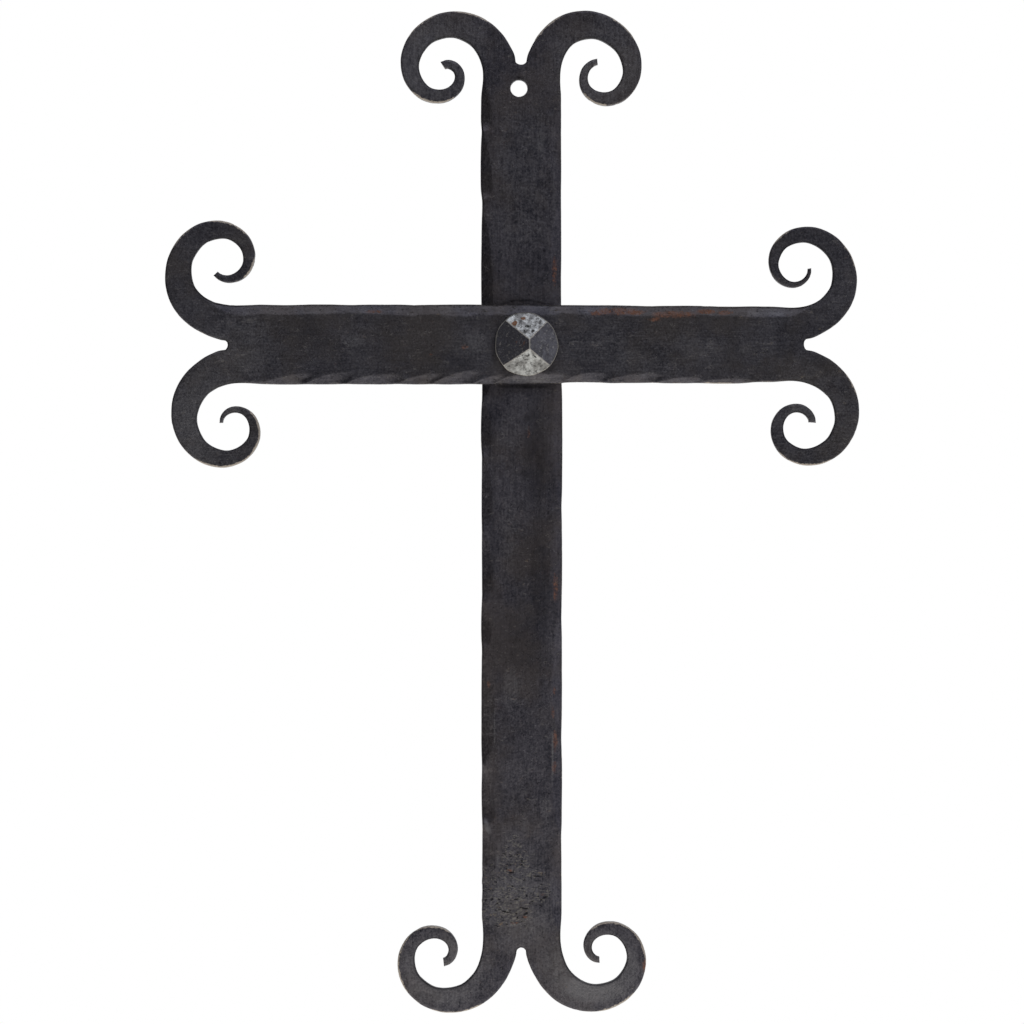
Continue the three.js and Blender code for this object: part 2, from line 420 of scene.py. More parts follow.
class Skin:
    """Gathers the faces of one closed form, ring by ring, and writes them as a mesh."""

    def __init__(self) -> None:
        """Starts with nothing."""
        self.points: list[np.ndarray] = []
        self.faces: list[tuple[int, ...]] = []
        self.count = 0

    def add_points(self, plan: np.ndarray, depth: np.ndarray | float) -> np.ndarray:
        """Adds points.

        Args:
            plan: Rows of x and z.
            depth: y of each point, or one y for all.

        Returns:
            The points' numbers.
        """
        depths = np.broadcast_to(depth, (len(plan),))
        self.points.append(np.column_stack((plan[:, 0], depths, plan[:, 1])))
        self.count += len(plan)
        return np.arange(self.count - len(plan), self.count)

    def add_band(self, first: np.ndarray, second: np.ndarray) -> None:
        """Joins two rings of as many points with one band of faces."""
        quads = zip(first, np.roll(first, -1), np.roll(second, -1), second)
        self.faces.extend(tuple(int(one) for one in quad) for quad in quads)

    def add_sheet(
        self,
        rings: Sequence[np.ndarray],
        inner: np.ndarray,
        depth: Callable[[np.ndarray], np.ndarray],
        creases: Sequence[np.ndarray] = (),
    ) -> list[np.ndarray]:
        """Fills the space between an outline and its holes with small triangles.

        Args:
            rings: The outline, then each hole.
            inner: Points inside.
            depth: Gives the y of plan points.
            creases: Open lines that edges have to follow.

        Returns:
            The point numbers of each ring.
        """
        tolerance = 1e-5
        inside_only = 1
        loops = [*rings, *creases]
        plan = np.concatenate([*loops, inner])
        edges = []
        start = 0
        for number, loop in enumerate(loops):
            last = len(loop) if number < len(rings) else len(loop) - 1
            edges.extend((start + one, start + (one + 1) % len(loop)) for one in range(last))
            start += len(loop)
        vectors = [Vector((x, z)) for x, z in plan]
        placed, _, triangles, origins, _, _ = delaunay_2d_cdt(vectors, edges, [], inside_only, tolerance)
        placed = np.array([tuple(one) for one in placed])
        kept = np.array([tuple(face) for face in triangles if len(face) == 3])
        middle = placed[kept].mean(axis=1)
        for hole in rings[1:]:
            centre = hole.mean(axis=0)
            radius = np.linalg.norm(hole - centre, axis=1).min()
            outside = np.hypot(*(middle - centre).T) > radius
            kept, middle = kept[outside], middle[outside]
        used = np.unique(kept)
        numbers = np.full(len(placed), -1)
        numbers[used] = self.add_points(placed[used], depth(placed[used]))
        self.faces.extend(tuple(int(one) for one in face) for face in numbers[kept])
        found = {origin: number for number, sources in zip(numbers, origins) for origin in sources}
        result = []
        start = 0
        for ring in rings:
            result.append(np.array([found[start + one] for one in range(len(ring))]))
            start += len(ring)
        return result

    def mesh(self, name: str) -> bpy.types.Mesh:
        """Writes the form as a mesh in metres with its faces outwards.

        Args:
            name: The mesh's name.

        Returns:
            The mesh, in triangles.
        """
        crease = math.radians(50.0)
        mesh = bpy.data.meshes.new(name)
        mesh.from_pydata((np.concatenate(self.points) * METRES).tolist(), [], self.faces)
        work = bmesh.new()
        work.from_mesh(mesh)
        bmesh.ops.triangulate(work, faces=work.faces)
        bmesh.ops.recalc_face_normals(work, faces=work.faces)
        work.to_mesh(mesh)
        work.free()
        mesh.shade_smooth()
        mesh.set_sharp_from_angle(angle=crease)
        return mesh


def srgb(code: str) -> tuple[float, float, float, float]:
    """Turns an sRGB colour into a linear one, by the curve of the sRGB standard.

    Args:
        code: The colour's hex value, such as "8a8b90".

    Returns:
        Red, green, blue and an alpha of 1.
    """
    values = [int(code[place : place + 2], 16) / 255.0 for place in (0, 2, 4)]
    linear = [one / 12.92 if one <= 0.04045 else ((one + 0.055) / 1.055) ** 2.4 for one in values]
    return (linear[0], linear[1], linear[2], 1.0)


def add_node(
    tree: bpy.types.NodeTree, kind: str, inputs: dict[str | int, object] | None = None, **settings: object
) -> bpy.types.bpy_prop_collection:
    """Adds a node with its settings and links.

    Args:
        tree: Where the node goes.
        kind: Blender's name for the node's type.
        inputs: Values for its inputs, or the output sockets that feed them.
        settings: Properties of the node.

    Returns:
        The node's outputs.
    """
    node = tree.nodes.new(kind)
    for name, value in settings.items():
        setattr(node, name, value)
    for key, value in (inputs or {}).items():
        if isinstance(value, bpy.types.NodeSocket):
            tree.links.new(value, node.inputs[key])
        else:
            node.inputs[key].default_value = value
    return node.outputs


def mottle(
    tree: bpy.types.NodeTree,
    place: bpy.types.NodeSocket,
    size: float,
    detail: float,
    low: float = 0.3,
    high: float = 0.7,
) -> bpy.types.NodeSocket:
    """Adds an uneven mottling to a material.

    Args:
        tree: The material's tree.
        place: Where on the piece.
        size: Distance between two spots, in mm.
        detail: How many finer layers break up the spots.
        low: Noise value up to which the mottling is 0.
        high: Noise value from which it is 1.

    Returns:
        The mottling, from 0 to 1.
    """
    finer_share = 0.6
    inputs = {"Vector": place, "Scale": 1.0 / (size * METRES), "Detail": detail, "Roughness": finer_share}
    noise = add_node(tree, "ShaderNodeTexNoise", inputs)[0]
    reach = {"Value": noise, "From Min": low, "From Max": high}
    return add_node(tree, "ShaderNodeMapRange", reach, interpolation_type="SMOOTHSTEP")[0]


def weighted(
    tree: bpy.types.NodeTree, start: float, *terms: tuple[bpy.types.NodeSocket, float | bpy.types.NodeSocket]
) -> bpy.types.NodeSocket:
    """Adds up values in a tree.

    Args:
        tree: Where the sum is built.
        start: What the sum starts from.
        terms: Each value with its weight.

    Returns:
        The sum.
    """
    total: float | bpy.types.NodeSocket = start
    for value, weight in terms:
        inputs = {0: value, 1: weight, 2: total}
        total = add_node(tree, "ShaderNodeMath", inputs, operation="MULTIPLY_ADD")[0]
    return total


def left_on(
    tree: bpy.types.NodeTree,
    kind: Mark,
    mottling: bpy.types.NodeSocket,
    ragged: float,
    low: float,
    high: float,
) -> bpy.types.NodeSocket:
    """Reads a mark of the mesh in a material, and gives it a ragged border.

    Args:
        tree: The material's tree.
        kind: The mark.
        mottling: What breaks up its border.
        ragged: How far the mottling shifts the border.
        low: Strength up to which nothing shows.
        high: Strength from which all of it shows.

    Returns:
        The share of the surface that the mark covers, from 0 to 1.
    """
    strength = add_node(tree, "ShaderNodeAttribute", attribute_name=kind.value)["Fac"]
    shifted = weighted(tree, -0.5 * ragged, (mottling, ragged), (strength, 1.0))
    reach = {"Value": shifted, "From Min": low, "From Max": high}
    return add_node(tree, "ShaderNodeMapRange", reach, interpolation_type="SMOOTHSTEP")[0]


def coats(
    tree: bpy.types.NodeTree, ground: str, *layers: tuple[bpy.types.NodeSocket, float, str]
) -> bpy.types.NodeSocket:
    """Lays colours over each other.

    Args:
        tree: The material's tree.
        ground: The lowest colour, as a hex value.
        layers: For each further colour, where it lies, how thickly, and the colour.

    Returns:
        The colour.
    """
    factor, under, over, mixed = 0, 6, 7, 2
    colour: tuple[float, ...] | bpy.types.NodeSocket = srgb(ground)
    for share, strength, code in layers:
        there = weighted(tree, 0.0, (share, strength))
        inputs = {factor: there, under: colour, over: srgb(code)}
        colour = add_node(tree, "ShaderNodeMix", inputs, data_type="RGBA")[mixed]
    return colour


def new_material(name: str) -> tuple[bpy.types.Material, bpy.types.NodeTree, bpy.types.NodeSocket]:
    """Starts a material with an empty tree.

    Args:
        name: The material's name.

    Returns:
        The material, its tree, and the place on the piece as the tree's first value.
    """
    material = bpy.data.materials.new(name)
    material.use_nodes = True
    tree = material.node_tree
    tree.nodes.clear()
    return material, tree, add_node(tree, "ShaderNodeTexCoord")["Object"]


@dataclass(frozen=True)
class SkinWork:
    """Sizes of what the Geometry Nodes tree works into a forged surface.

    Planishing is the wide, shallow unevenness that the hammer leaves on a flat.
    """

    planish_depth: float = 0.16
    planish_size: float = 15.0
    pit_depth: float = 0.10
    pit_size: float = 2.6
    crust_height: float = 0.42
    crust_size: float = 1.7

    def inputs(self) -> dict[str, float]:
        """Names the tree's inputs.

        Returns:
            The value of each, its sizes in metres.
        """
        return {
            "Planish Depth": self.planish_depth * METRES,
            "Planish Size": self.planish_size * METRES,
            "Pit Depth": self.pit_depth * METRES,
            "Pit Size": self.pit_size * METRES,
            "Crust Height": self.crust_height * METRES,
            "Crust Size": self.crust_size * METRES,
            "Seed": float(SEED),
        }


class ForgedSkin:
    """The Geometry Nodes tree that works dimples, scale pits and crust into a closed iron form."""

    def __init__(self) -> None:
        """Builds the tree."""
        self.tree = bpy.data.node_groups.new("forged_skin", "GeometryNodeTree")
        face = self.tree.interface
        face.new_socket("Geometry", in_out="INPUT", socket_type="NodeSocketGeometry")
        for name in SkinWork().inputs():
            face.new_socket(name, in_out="INPUT", socket_type="NodeSocketFloat")
        face.new_socket("Finish", in_out="INPUT", socket_type="NodeSocketMaterial")
        face.new_socket("Geometry", in_out="OUTPUT", socket_type="NodeSocketGeometry")
        self.given = add_node(self.tree, "NodeGroupInput")
        self.place = add_node(self.tree, "GeometryNodeInputPosition")[0]
        self.build()

    def lumps(self, size: str, detail: float, low: float, high: float) -> bpy.types.NodeSocket:
        """Adds seeded lumps.

        Args:
            size: The named input that says how big they are.
            detail: How many finer layers break them up.
            low: Noise value of the hollows' floor.
            high: Noise value of the lumps' tops.

        Returns:
            Their height, from 0 to 1.
        """
        scale = add_node(self.tree, "ShaderNodeMath", {0: 1.0, 1: self.given[size]}, operation="DIVIDE")[0]
        inputs = {"Vector": self.place, "W": self.given["Seed"], "Scale": scale, "Detail": detail}
        noise = add_node(self.tree, "ShaderNodeTexNoise", inputs, noise_dimensions="4D")[0]
        reach = {"Value": noise, "From Min": low, "From Max": high}
        return add_node(self.tree, "ShaderNodeMapRange", reach, interpolation_type="SMOOTHSTEP")[0]

    def build(self) -> None:
        """Joins the three kinds of work into one move along the normal, and sets the finish."""
        dimpled = {"detail": 1.0, "low": 0.25, "high": 0.75}
        pitted = {"detail": 2.0, "low": 0.56, "high": 0.72}
        knobbly = {"detail": 3.0, "low": 0.38, "high": 0.66}
        tree = self.tree
        inwards = add_node(tree, "GeometryNodeInputNormal")[0]
        inwards = add_node(tree, "ShaderNodeVectorMath", {0: inwards, "Scale": -1.0}, operation="SCALE")[0]
        mark = {"Name": Mark.CRUST.value}
        crusted = add_node(tree, "GeometryNodeInputNamedAttribute", mark, data_type="FLOAT")[0]
        bare = weighted(tree, 1.0, (crusted, -1.0))
        knobs = weighted(tree, 0.0, (crusted, self.lumps("Crust Size", **knobbly)))
        sunk = weighted(
            tree,
            0.0,
            (self.lumps("Planish Size", **dimpled), self.given["Planish Depth"]),
            (weighted(tree, 0.0, (bare, self.lumps("Pit Size", **pitted))), self.given["Pit Depth"]),
            (weighted(tree, 0.0, (knobs, -1.0)), self.given["Crust Height"]),
        )
        move = add_node(tree, "ShaderNodeVectorMath", {0: inwards, "Scale": sunk}, operation="SCALE")[0]
        placed = {"Geometry": self.given["Geometry"], "Offset": move}
        moved = add_node(tree, "GeometryNodeSetPosition", placed)[0]
        real = add_node(tree, "GeometryNodeRealizeInstances", {"Geometry": moved})[0]
        dressed = {"Geometry": real, "Material": self.given["Finish"]}
        coated = add_node(tree, "GeometryNodeSetMaterial", dressed)[0]
        add_node(tree, "NodeGroupOutput", {"Geometry": coated})

    def work(self, piece: bpy.types.Object, sizes: SkinWork, finish: bpy.types.Material) -> None:
        """Runs the tree on a piece and keeps the result as its plain mesh.

        Args:
            piece: Object with the smooth form.
            sizes: Sizes of the work.
            finish: Material for all of it.
        """
        values = {**sizes.inputs(), "Finish": finish}
        modifier = piece.modifiers.new("forged skin", "NODES")
        modifier.node_group = self.tree
        for item in self.tree.interface.items_tree:
            if item.in_out == "INPUT" and item.name in values:
                modifier[item.identifier] = values[item.name]
        graph = bpy.context.evaluated_depsgraph_get()
        mesh = bpy.data.meshes.new_from_object(
            piece.evaluated_get(graph), preserve_all_data_layers=True, depsgraph=graph
        )
        piece.modifiers.clear()
        piece.data = mesh


@dataclass(frozen=True)
class ScaledIron:
    """Hot-worked iron under its black forge scale, brushed and oiled.

    The scale is a hard oxide, dark and half glossy like a dull metal: it mirrors broad lights softly,
    and shows a fine grain, blue-black and brown clouds, and pale bare iron where it is rubbed off.
    Sizes are the real ones in mm. Those of the grain, specks and flecks are drawn about twice as
    coarse as the real ones, because finer ones wouldn't show. The brush ran along the bar. brushed
    and layered are factors along x, y and z, and stretch a pattern where they are under 1.
    """

    name: str
    dark: str
    pale: str
    warm: str
    brushed: tuple[float, float, float]
    layered: tuple[float, float, float] = (0.45, 1.0, 1.0)
    roughness: float = 0.42
    base_tone: float = -0.24
    cloud_size: float = 19.0
    brown_size: float = 26.6
    patch_size: float = 3.4
    stroke_size: float = 1.0
    grain_size: float = 0.85
    speck_size: float = 0.95
    fleck_size: float = 0.76
    wear_size: float = 1.3
    rust_size: float = 1.1
    crust_edge: float = 2.0
    crust_size: float = 0.6
    crack_size: float = 0.9
    earth_size: float = 1.9
    bare: str = "cfc3b3"
    rust: str = "8f5a3a"
    dust: str = "9a958a"
    earth: str = "8a6a45"
    crack_and_shade: str = "0e0d0f"
    scuff_and_sheen_colour: str = "8c8a8b"

    def material(self) -> bpy.types.Material:
        """Builds the material.

        Returns:
            The material.
        """
        material, tree, place = new_material(self.name)
        brushed = add_node(tree, "ShaderNodeMapping", {"Vector": place, "Scale": self.brushed})[0]
        layered = add_node(tree, "ShaderNodeMapping", {"Vector": place, "Scale": self.layered})[0]

        clouds = mottle(tree, place, self.cloud_size, detail=3.0)
        patches = mottle(tree, place, self.patch_size, detail=4.0)
        strokes = mottle(tree, brushed, self.stroke_size, detail=3.0)
        grain = mottle(tree, place, self.grain_size, detail=2.0, low=0.25, high=0.75)
        tone = weighted(tree, self.base_tone, (patches, 0.32), (clouds, 0.38), (strokes, 0.3), (grain, 0.48))
        browned = mottle(tree, place, self.brown_size, detail=4.0, low=0.40, high=0.66)
        specks = mottle(tree, place, self.speck_size, detail=2.0, low=0.60, high=0.70)
        flecks = mottle(tree, place, self.fleck_size, detail=1.0, low=0.66, high=0.74)
        worn = mottle(tree, place, self.wear_size, detail=3.0)
        rusted = mottle(tree, place, self.rust_size, detail=3.0)
        crusted = mottle(tree, layered, self.crust_edge, detail=4.0)
        network = mottle(tree, layered, self.crust_size, detail=2.0, low=0.50, high=0.62)
        cracks = mottle(tree, layered, self.crack_size, detail=2.0, low=0.59, high=0.68)
        earth = mottle(tree, layered, self.earth_size, detail=3.0, low=0.60, high=0.68)

        # Places rubbed paler, and painted sheen.
        scuff_and_sheen = left_on(tree, Mark.SCUFF_AND_SHEEN, tone, ragged=0.4, low=0.0, high=1.0)
        wear = left_on(tree, Mark.WEAR, worn, ragged=0.6, low=0.35, high=0.75)
        stain = left_on(tree, Mark.RUST, patches, ragged=0.4, low=0.1, high=1.0)
        rust = left_on(tree, Mark.RUST, rusted, ragged=1.3, low=0.55, high=1.05)
        # Real stains, and painted shade and shadow.
        soot_and_shade = left_on(tree, Mark.SOOT_AND_SHADE, patches, ragged=0.3, low=0.0, high=1.0)
        crust = left_on(tree, Mark.CRUST, crusted, ragged=0.9, low=0.2, high=0.7)
        dusty = weighted(tree, 0.0, (crust, network))
        cracked = weighted(tree, 0.0, (crust, cracks))
        earthy = weighted(tree, 0.0, (dusty, earth))
        colour = coats(
            tree,
            self.dark,
            (tone, 1.0, self.pale),
            (browned, 0.6, self.warm),
            (specks, 0.42, self.crack_and_shade),
            (flecks, 0.35, self.scuff_and_sheen_colour),
            (scuff_and_sheen, 0.8, self.scuff_and_sheen_colour),
            (dusty, 0.5, self.dust),
            (earthy, 0.6, self.earth),
            (cracked, 0.8, self.crack_and_shade),
            (stain, 0.34, self.rust),
            (rust, 0.52, self.rust),
            (wear, 0.8, self.bare),
            # The darkest colour also paints shade and shadow where the soot mark lies.
            (soot_and_shade, 0.9, self.crack_and_shade),
        )

        metallic = weighted(tree, 1.0, (rust, -0.75), (wear, -0.5), (dusty, -0.3))
        rough = weighted(
            tree, self.roughness, (patches, -0.04), (grain, 0.12), (crust, 0.16), (rust, 0.2), (soot_and_shade, 0.2)
        )
        relief = weighted(
            tree,
            0.0,
            (grain, 0.045),
            (patches, 0.025),
            (strokes, 0.02),
            (specks, -0.06),
            (dusty, 0.16),
            (cracked, -0.34),
        )
        bump = add_node(tree, "ShaderNodeBump", {"Strength": 0.6, "Distance": METRES, "Height": relief})[0]
        look = {"Base Color": colour, "Metallic": metallic, "Roughness": rough, "Normal": bump}
        shader = add_node(tree, "ShaderNodeBsdfPrincipled", look)[0]
        add_node(tree, "ShaderNodeOutputMaterial", {"Surface": shader})
        return material


@dataclass(frozen=True)
class BurnishedIron:
    """The rivet's iron: two facets burnished bright by the hammer, two still under their dark scale.

    The bright ones are a pitted, clouded grey metal with some rust, and where two facets meet the
    edge is rubbed to a thin pale line. On the rivet the scuff mark tells how bare a facet is, and
    it also paints the facets' light, paler on the lit top and bottom facets and darker on the
    shaded left one. The soot mark gives its pits.
    """

    name: str = "burnished_iron"
    scale: str = "636269"
    grey: str = "8a8986"
    bright: str = "c0c1be"
    pit: str = "221f1e"
    rust: str = "87562f"
    rubbed: str = "c9c4bb"
    roughness: float = 0.38
    cloud_size: float = 3.4
    blotch_size: float = 1.5
    grain_size: float = 0.6
    dirt_size: float = 1.3
    fleck_size: float = 0.9
    relief_depth: float = 0.12

    def material(self) -> bpy.types.Material:
        """Builds the material.

        Returns:
            The material.
        """
        material, tree, place = new_material(self.name)
        clouds = mottle(tree, place, self.cloud_size, detail=3.0, low=0.38, high=0.62)
        blotches = mottle(tree, place, self.blotch_size, detail=4.0)
        grain = mottle(tree, place, self.grain_size, detail=2.0, low=0.25, high=0.75)
        dirt = mottle(tree, place, self.dirt_size, detail=4.0, low=0.50, high=0.62)
        flecks = mottle(tree, place, self.fleck_size, detail=3.0, low=0.56, high=0.70)
        # How bare each facet is, which also paints the facets' light.
        bare = left_on(tree, Mark.SCUFF_AND_SHEEN, blotches, ragged=0.1, low=0.1, high=0.9)
        pits = left_on(tree, Mark.SOOT_AND_SHADE, blotches, ragged=0.8, low=0.35, high=0.95)
        rust = left_on(tree, Mark.RUST, blotches, ragged=0.6, low=0.35, high=0.7)
        wear = left_on(tree, Mark.WEAR, blotches, ragged=0.3, low=0.15, high=0.7)
        metal = weighted(tree, 0.0, (bare, clouds))
        dirty = weighted(tree, 0.0, (bare, dirt))
        colour = coats(
            tree,
            self.scale,
            (grain, 0.5, self.pit),
            (flecks, 0.4, self.rubbed),
            (bare, 1.0, self.grey),
            (metal, 1.0, self.bright),
            (dirty, 0.45, self.pit),
            (pits, 0.8, self.pit),
            (rust, 0.85, self.rust),
            (wear, 0.8, self.rubbed),
        )
        metallic = weighted(tree, 0.55, (bare, 0.45), (rust, -0.5), (wear, -0.25))
        rough = weighted(tree, self.roughness, (clouds, -0.08), (dirty, 0.2), (pits, 0.2), (rust, 0.2))
        relief = weighted(tree, 0.0, (grain, 0.03), (weighted(tree, 0.15, (bare, 0.85)), blotches))
        rise = {"Strength": 0.6, "Distance": self.relief_depth * METRES, "Height": relief}
        bump = add_node(tree, "ShaderNodeBump", rise)[0]
        look = {"Base Color": colour, "Metallic": metallic, "Roughness": rough, "Normal": bump}
        shader = add_node(tree, "ShaderNodeBsdfPrincipled", look)[0]
        add_node(tree, "ShaderNodeOutputMaterial", {"Surface": shader})
        return material


def set_marks(mesh: bpy.types.Mesh, strengths: dict[Mark, np.ndarray]) -> None:
    """Writes each mark as a point attribute.

    Args:
        mesh: The mesh that bears them.
        strengths: Strength of each mark at each point.
    """
    for kind, values in strengths.items():
        attribute = mesh.attributes.new(kind.value, "FLOAT", "POINT")
        attribute.data.foreach_set("value", np.clip(values, 0.0, 1.0).astype(np.float32))


def place_of(mesh: bpy.types.Mesh) -> np.ndarray:
    """Reads a mesh's points.

    Args:
        mesh: The mesh, in metres.

    Returns:
        Its points in mm, as rows of x, y and z.
    """
    flat = np.empty(len(mesh.vertices) * 3)
    mesh.vertices.foreach_get("co", flat)
    return flat.reshape(-1, 3) / METRES


def show(mesh: bpy.types.Mesh, name: str) -> bpy.types.Object:
    """Puts a mesh in the scene.

    Args:
        mesh: The mesh.
        name: The object's name.

    Returns:
        The object.
    """
    piece = bpy.data.objects.new(name, mesh)
    bpy.context.scene.collection.objects.link(piece)
    return piece


@dataclass
class FlatBar:
    """A flat bar, split and scrolled at both ends, with hammered front edges.

    The upright's middle line is at centre_x and the crossbar's at centre_z. Spacings are those of
    the mesh's points. Each scroll has small flats along its edges, shallow outside and deeper
    inside, and wear reaches in from an edge by rubbed_reach everywhere, by worn_reach more where a
    WEAR spot lies, and down the side from worn_down.
    """

    name: str
    node: str
    slot: str
    upright: bool
    half_width: float
    finish: ScaledIron
    bevels: list[Bevel]
    blows: list[Blow]
    spots: list[Spot]
    centre_x: float = 1.0
    centre_z: float = -102.75
    thickness: float = 6.35
    spacing: float = 0.58
    edge_step: float = 0.62
    edge_wander: float = 0.7
    edge_fade: float = 12.0
    rim_rows: tuple[float, float] = (0.16, 0.42)
    hole_row: float = 0.2
    face_margin: float = 0.75
    wall_rows: tuple[float, ...] = (0.12, 0.4, 0.7, 1.0)
    back_spacing: float = 1.8
    back_margin: float = 1.3
    back_break: float = 0.4
    hole_break: float = 0.2
    round_over: float = 0.65
    face_sunk: float = 0.04
    shank_hole: float = 4.3
    countersink: float = 2.6
    hole_points: int = 48
    outset: float = 0.02
    flat_length: float = 10.0
    outer_flat: float = 0.10
    inner_flat: float = 0.24
    turn_reach: int = 5
    rubbed_reach: float = 0.35
    worn_reach: float = 0.95
    worn_down: float = 2.2
    crust_foot: float = -335.8
    foot_fade: float = 0.5
    work: SkinWork = SkinWork()

    def along(self, plan: np.ndarray) -> np.ndarray:
        """Place along the bar."""
        return plan[:, 1] if self.upright else plan[:, 0]

    def across(self, plan: np.ndarray) -> np.ndarray:
        """Distance from the bar's middle line: to the right for the upright, up for the crossbar."""
        return plan[:, 0] - self.centre_x if self.upright else plan[:, 1] - self.centre_z

    def worked(self, ring: np.ndarray) -> np.ndarray:
        """Tells which of the outline's points lie on the two hammered edges.

        Args:
            ring: The outline.

        Returns:
            1 for a point on them, and less the further a point lies into a scroll, down to 0.
        """
        stride = np.linalg.norm(np.roll(ring, -1, axis=0) - ring, axis=1)
        run = np.cumsum(stride) - stride
        straight = np.abs(np.abs(self.across(ring)) - self.half_width) < self.edge_wander
        length = run[-1] + stride[-1]
        there = np.sort(np.concatenate([run[straight] + turn * length for turn in (-1.0, 0.0, 1.0)]))
        after = np.searchsorted(there, run).clip(1, len(there) - 1)
        away = np.minimum(np.abs(there[after] - run), np.abs(run - there[after - 1]))
        return smoothstep(self.edge_fade, 0.0, away)

    def bevel_drop(self, plan: np.ndarray, rim: Rim) -> np.ndarray:
        """Depth of the hammered edges below the flat of the face.

        Args:
            plan: Points as rows of x and z.
            rim: The bar's edge.

        Returns:
            One depth for each point.
        """
        inset = rim.inset(plan).clip(0.0)
        worked = rim.worked[rim.nearest(plan)]
        soft = 0.07
        lowest = -4 * soft
        fade = 14.0
        waver_share, waver_size = 0.12, 21.0
        place = self.along(plan)
        across = self.across(plan)
        waver = 1.0 + waver_share * ripple(plan, waver_size, SEED + 3)
        deepest = np.full(len(plan), -1.0)
        for bevel in self.bevels:
            share = smoothstep(bevel.start - fade / 2, bevel.start + fade / 2, place)
            share = share * smoothstep(bevel.end + fade / 2, bevel.end - fade / 2, place)
            drop = bevel.depth * (share * waver - inset / bevel.width)
            deepest = np.where(across * bevel.side.value > 0, np.maximum(deepest, drop), deepest)
        for blow in self.blows:
            drop = blow.depth * (blow.crown(place, inset) - inset / blow.width)
            deepest = np.where(across * blow.side.value > 0, np.maximum(deepest, drop), deepest)
        return worked * (deepest + np.sqrt(deepest**2 + soft**2)) / 2.0 * (deepest > lowest)

    def hammered(self, ring: np.ndarray) -> np.ndarray:
        """Works the swellings of the blows and the flats of the scrolls into the outline.

        Args:
            ring: The smooth outline.

        Returns:
            The uneven outline, with as many points.
        """
        stagger, stagger_size = 0.3, 30.0
        place = self.along(ring)
        across = self.across(ring)
        worked = self.worked(ring)
        stride = np.linalg.norm(np.roll(ring, -1, axis=0) - ring, axis=1)
        share = (np.cumsum(stride) / self.flat_length + stagger * ripple(ring, stagger_size, SEED + 5)) % 1.0
        middle = 1.0 - (2.0 * share - 1.0) ** 2
        reach = self.turn_reach
        inner = turning(ring, reach) < 0.0
        flats = np.where(inner, self.inner_flat * (1.0 - middle), self.outer_flat * middle)
        swollen = np.zeros(len(ring))
        for blow in self.blows:
            swell = blow.swell * np.maximum(blow.crown(place, np.zeros(len(place))), 0.0)
            beside = (across * blow.side.value > 0.0) & (np.abs(swell) > np.abs(swollen))
            swollen = np.where(beside, swell, swollen)
        depth = flats * (1.0 - worked) - (swollen + self.outset) * worked
        kernel = np.ones(reach) / reach
        padded = np.concatenate([depth[-reach:], depth, depth[:reach]])
        eased = np.convolve(padded, kernel, mode="same")[reach:-reach]
        return ring + inward(ring) * eased[:, None]

    def above_foot(self, plan: np.ndarray) -> np.ndarray:
        """1 above the line where the crust ends, 0 below it."""
        return smoothstep(self.crust_foot - self.foot_fade, self.crust_foot + self.foot_fade, plan[:, 1])

    def strengths(self, points: np.ndarray, rim: Rim) -> dict[Mark, np.ndarray]:
        """Works out where each mark lies.

        Wear lies along the edges, and least on the inside of a scroll, where a painted shade darkens
        the inner edge instead. The other marks lie on the front alone.

        Args:
            points: The bar's points, as rows of x, y and z.
            rim: The bar's edge.

        Returns:
            The strength of each mark at each point.
        """
        front_share, back_share = 0.35, 0.8
        hollow, hollowest = -0.2, -1.0
        bare_at, bare_share, sheltered = 0.3, 0.2, 0.8
        rubbed_most, rubbed_full, rubbed_sheltered = 0.42, 0.05, 0.6
        inner_shade, inner_shade_reach, inner_shade_full = 0.55, 0.95, 0.3
        plan = points[:, [0, 2]]
        inset = np.abs(rim.inset(plan))
        depth = points[:, 1] - points[:, 1].min()
        on_front = smoothstep(back_share * self.thickness, front_share * self.thickness, depth)
        from_edge = np.hypot(inset, np.maximum(depth - self.worn_down, 0.0))
        inner_side = smoothstep(hollow, hollowest, turning(rim.ring, self.turn_reach))[rim.nearest(plan)]
        result = {kind: np.zeros(len(points)) for kind in Mark}
        for spot in self.spots:
            spread = spot.spread(plan)
            if spot.mark is Mark.WEAR:
                reach = self.rubbed_reach + self.worn_reach * spread
                spread = smoothstep(0.0, bare_at, spread) * smoothstep(reach, bare_share * reach, from_edge)
                spread = spread * (1.0 - sheltered * inner_side)
            else:
                spread = spread * on_front
            if spot.mark is Mark.CRUST:
                spread = spread * self.above_foot(plan)
            result[spot.mark] = np.maximum(result[spot.mark], spread)
        rubbed = rubbed_most * smoothstep(self.rubbed_reach, rubbed_full, from_edge)
        rubbed = rubbed * (1.0 - rubbed_sheltered * inner_side)
        result[Mark.WEAR] = np.maximum(result[Mark.WEAR], rubbed)
        # Painted shade along the inner edges of the scrolls.
        painted_inner_shade = inner_shade * inner_side * smoothstep(inner_shade_reach, inner_shade_full, inset)
        result[Mark.SOOT_AND_SHADE] = np.maximum(result[Mark.SOOT_AND_SHADE], painted_inner_shade)
        return result

    def build(self, skin_tree: ForgedSkin) -> bpy.types.Object:
        """Makes the bar and dresses it.

        Args:
            skin_tree: The tree that works its surface.

        Returns:
            The finished piece, which replaces its CAD node.
        """
        low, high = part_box(self.node)
        front, back = low.y / METRES, high.y / METRES
        outline, *holes = back_rings(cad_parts[self.node])
        rim = Rim(self.hammered(smooth_ring(outline, self.edge_step)))
        rim.worked = self.worked(rim.ring)
        bores = []
        for hole in holes:
            x, z = (hole.min(axis=0) + hole.max(axis=0)) / 2.0
            radius = float(np.hypot(*(hole - (x, z)).T).max())
            bores.append(Bore(x, z, min(radius, self.shank_hole), radius))

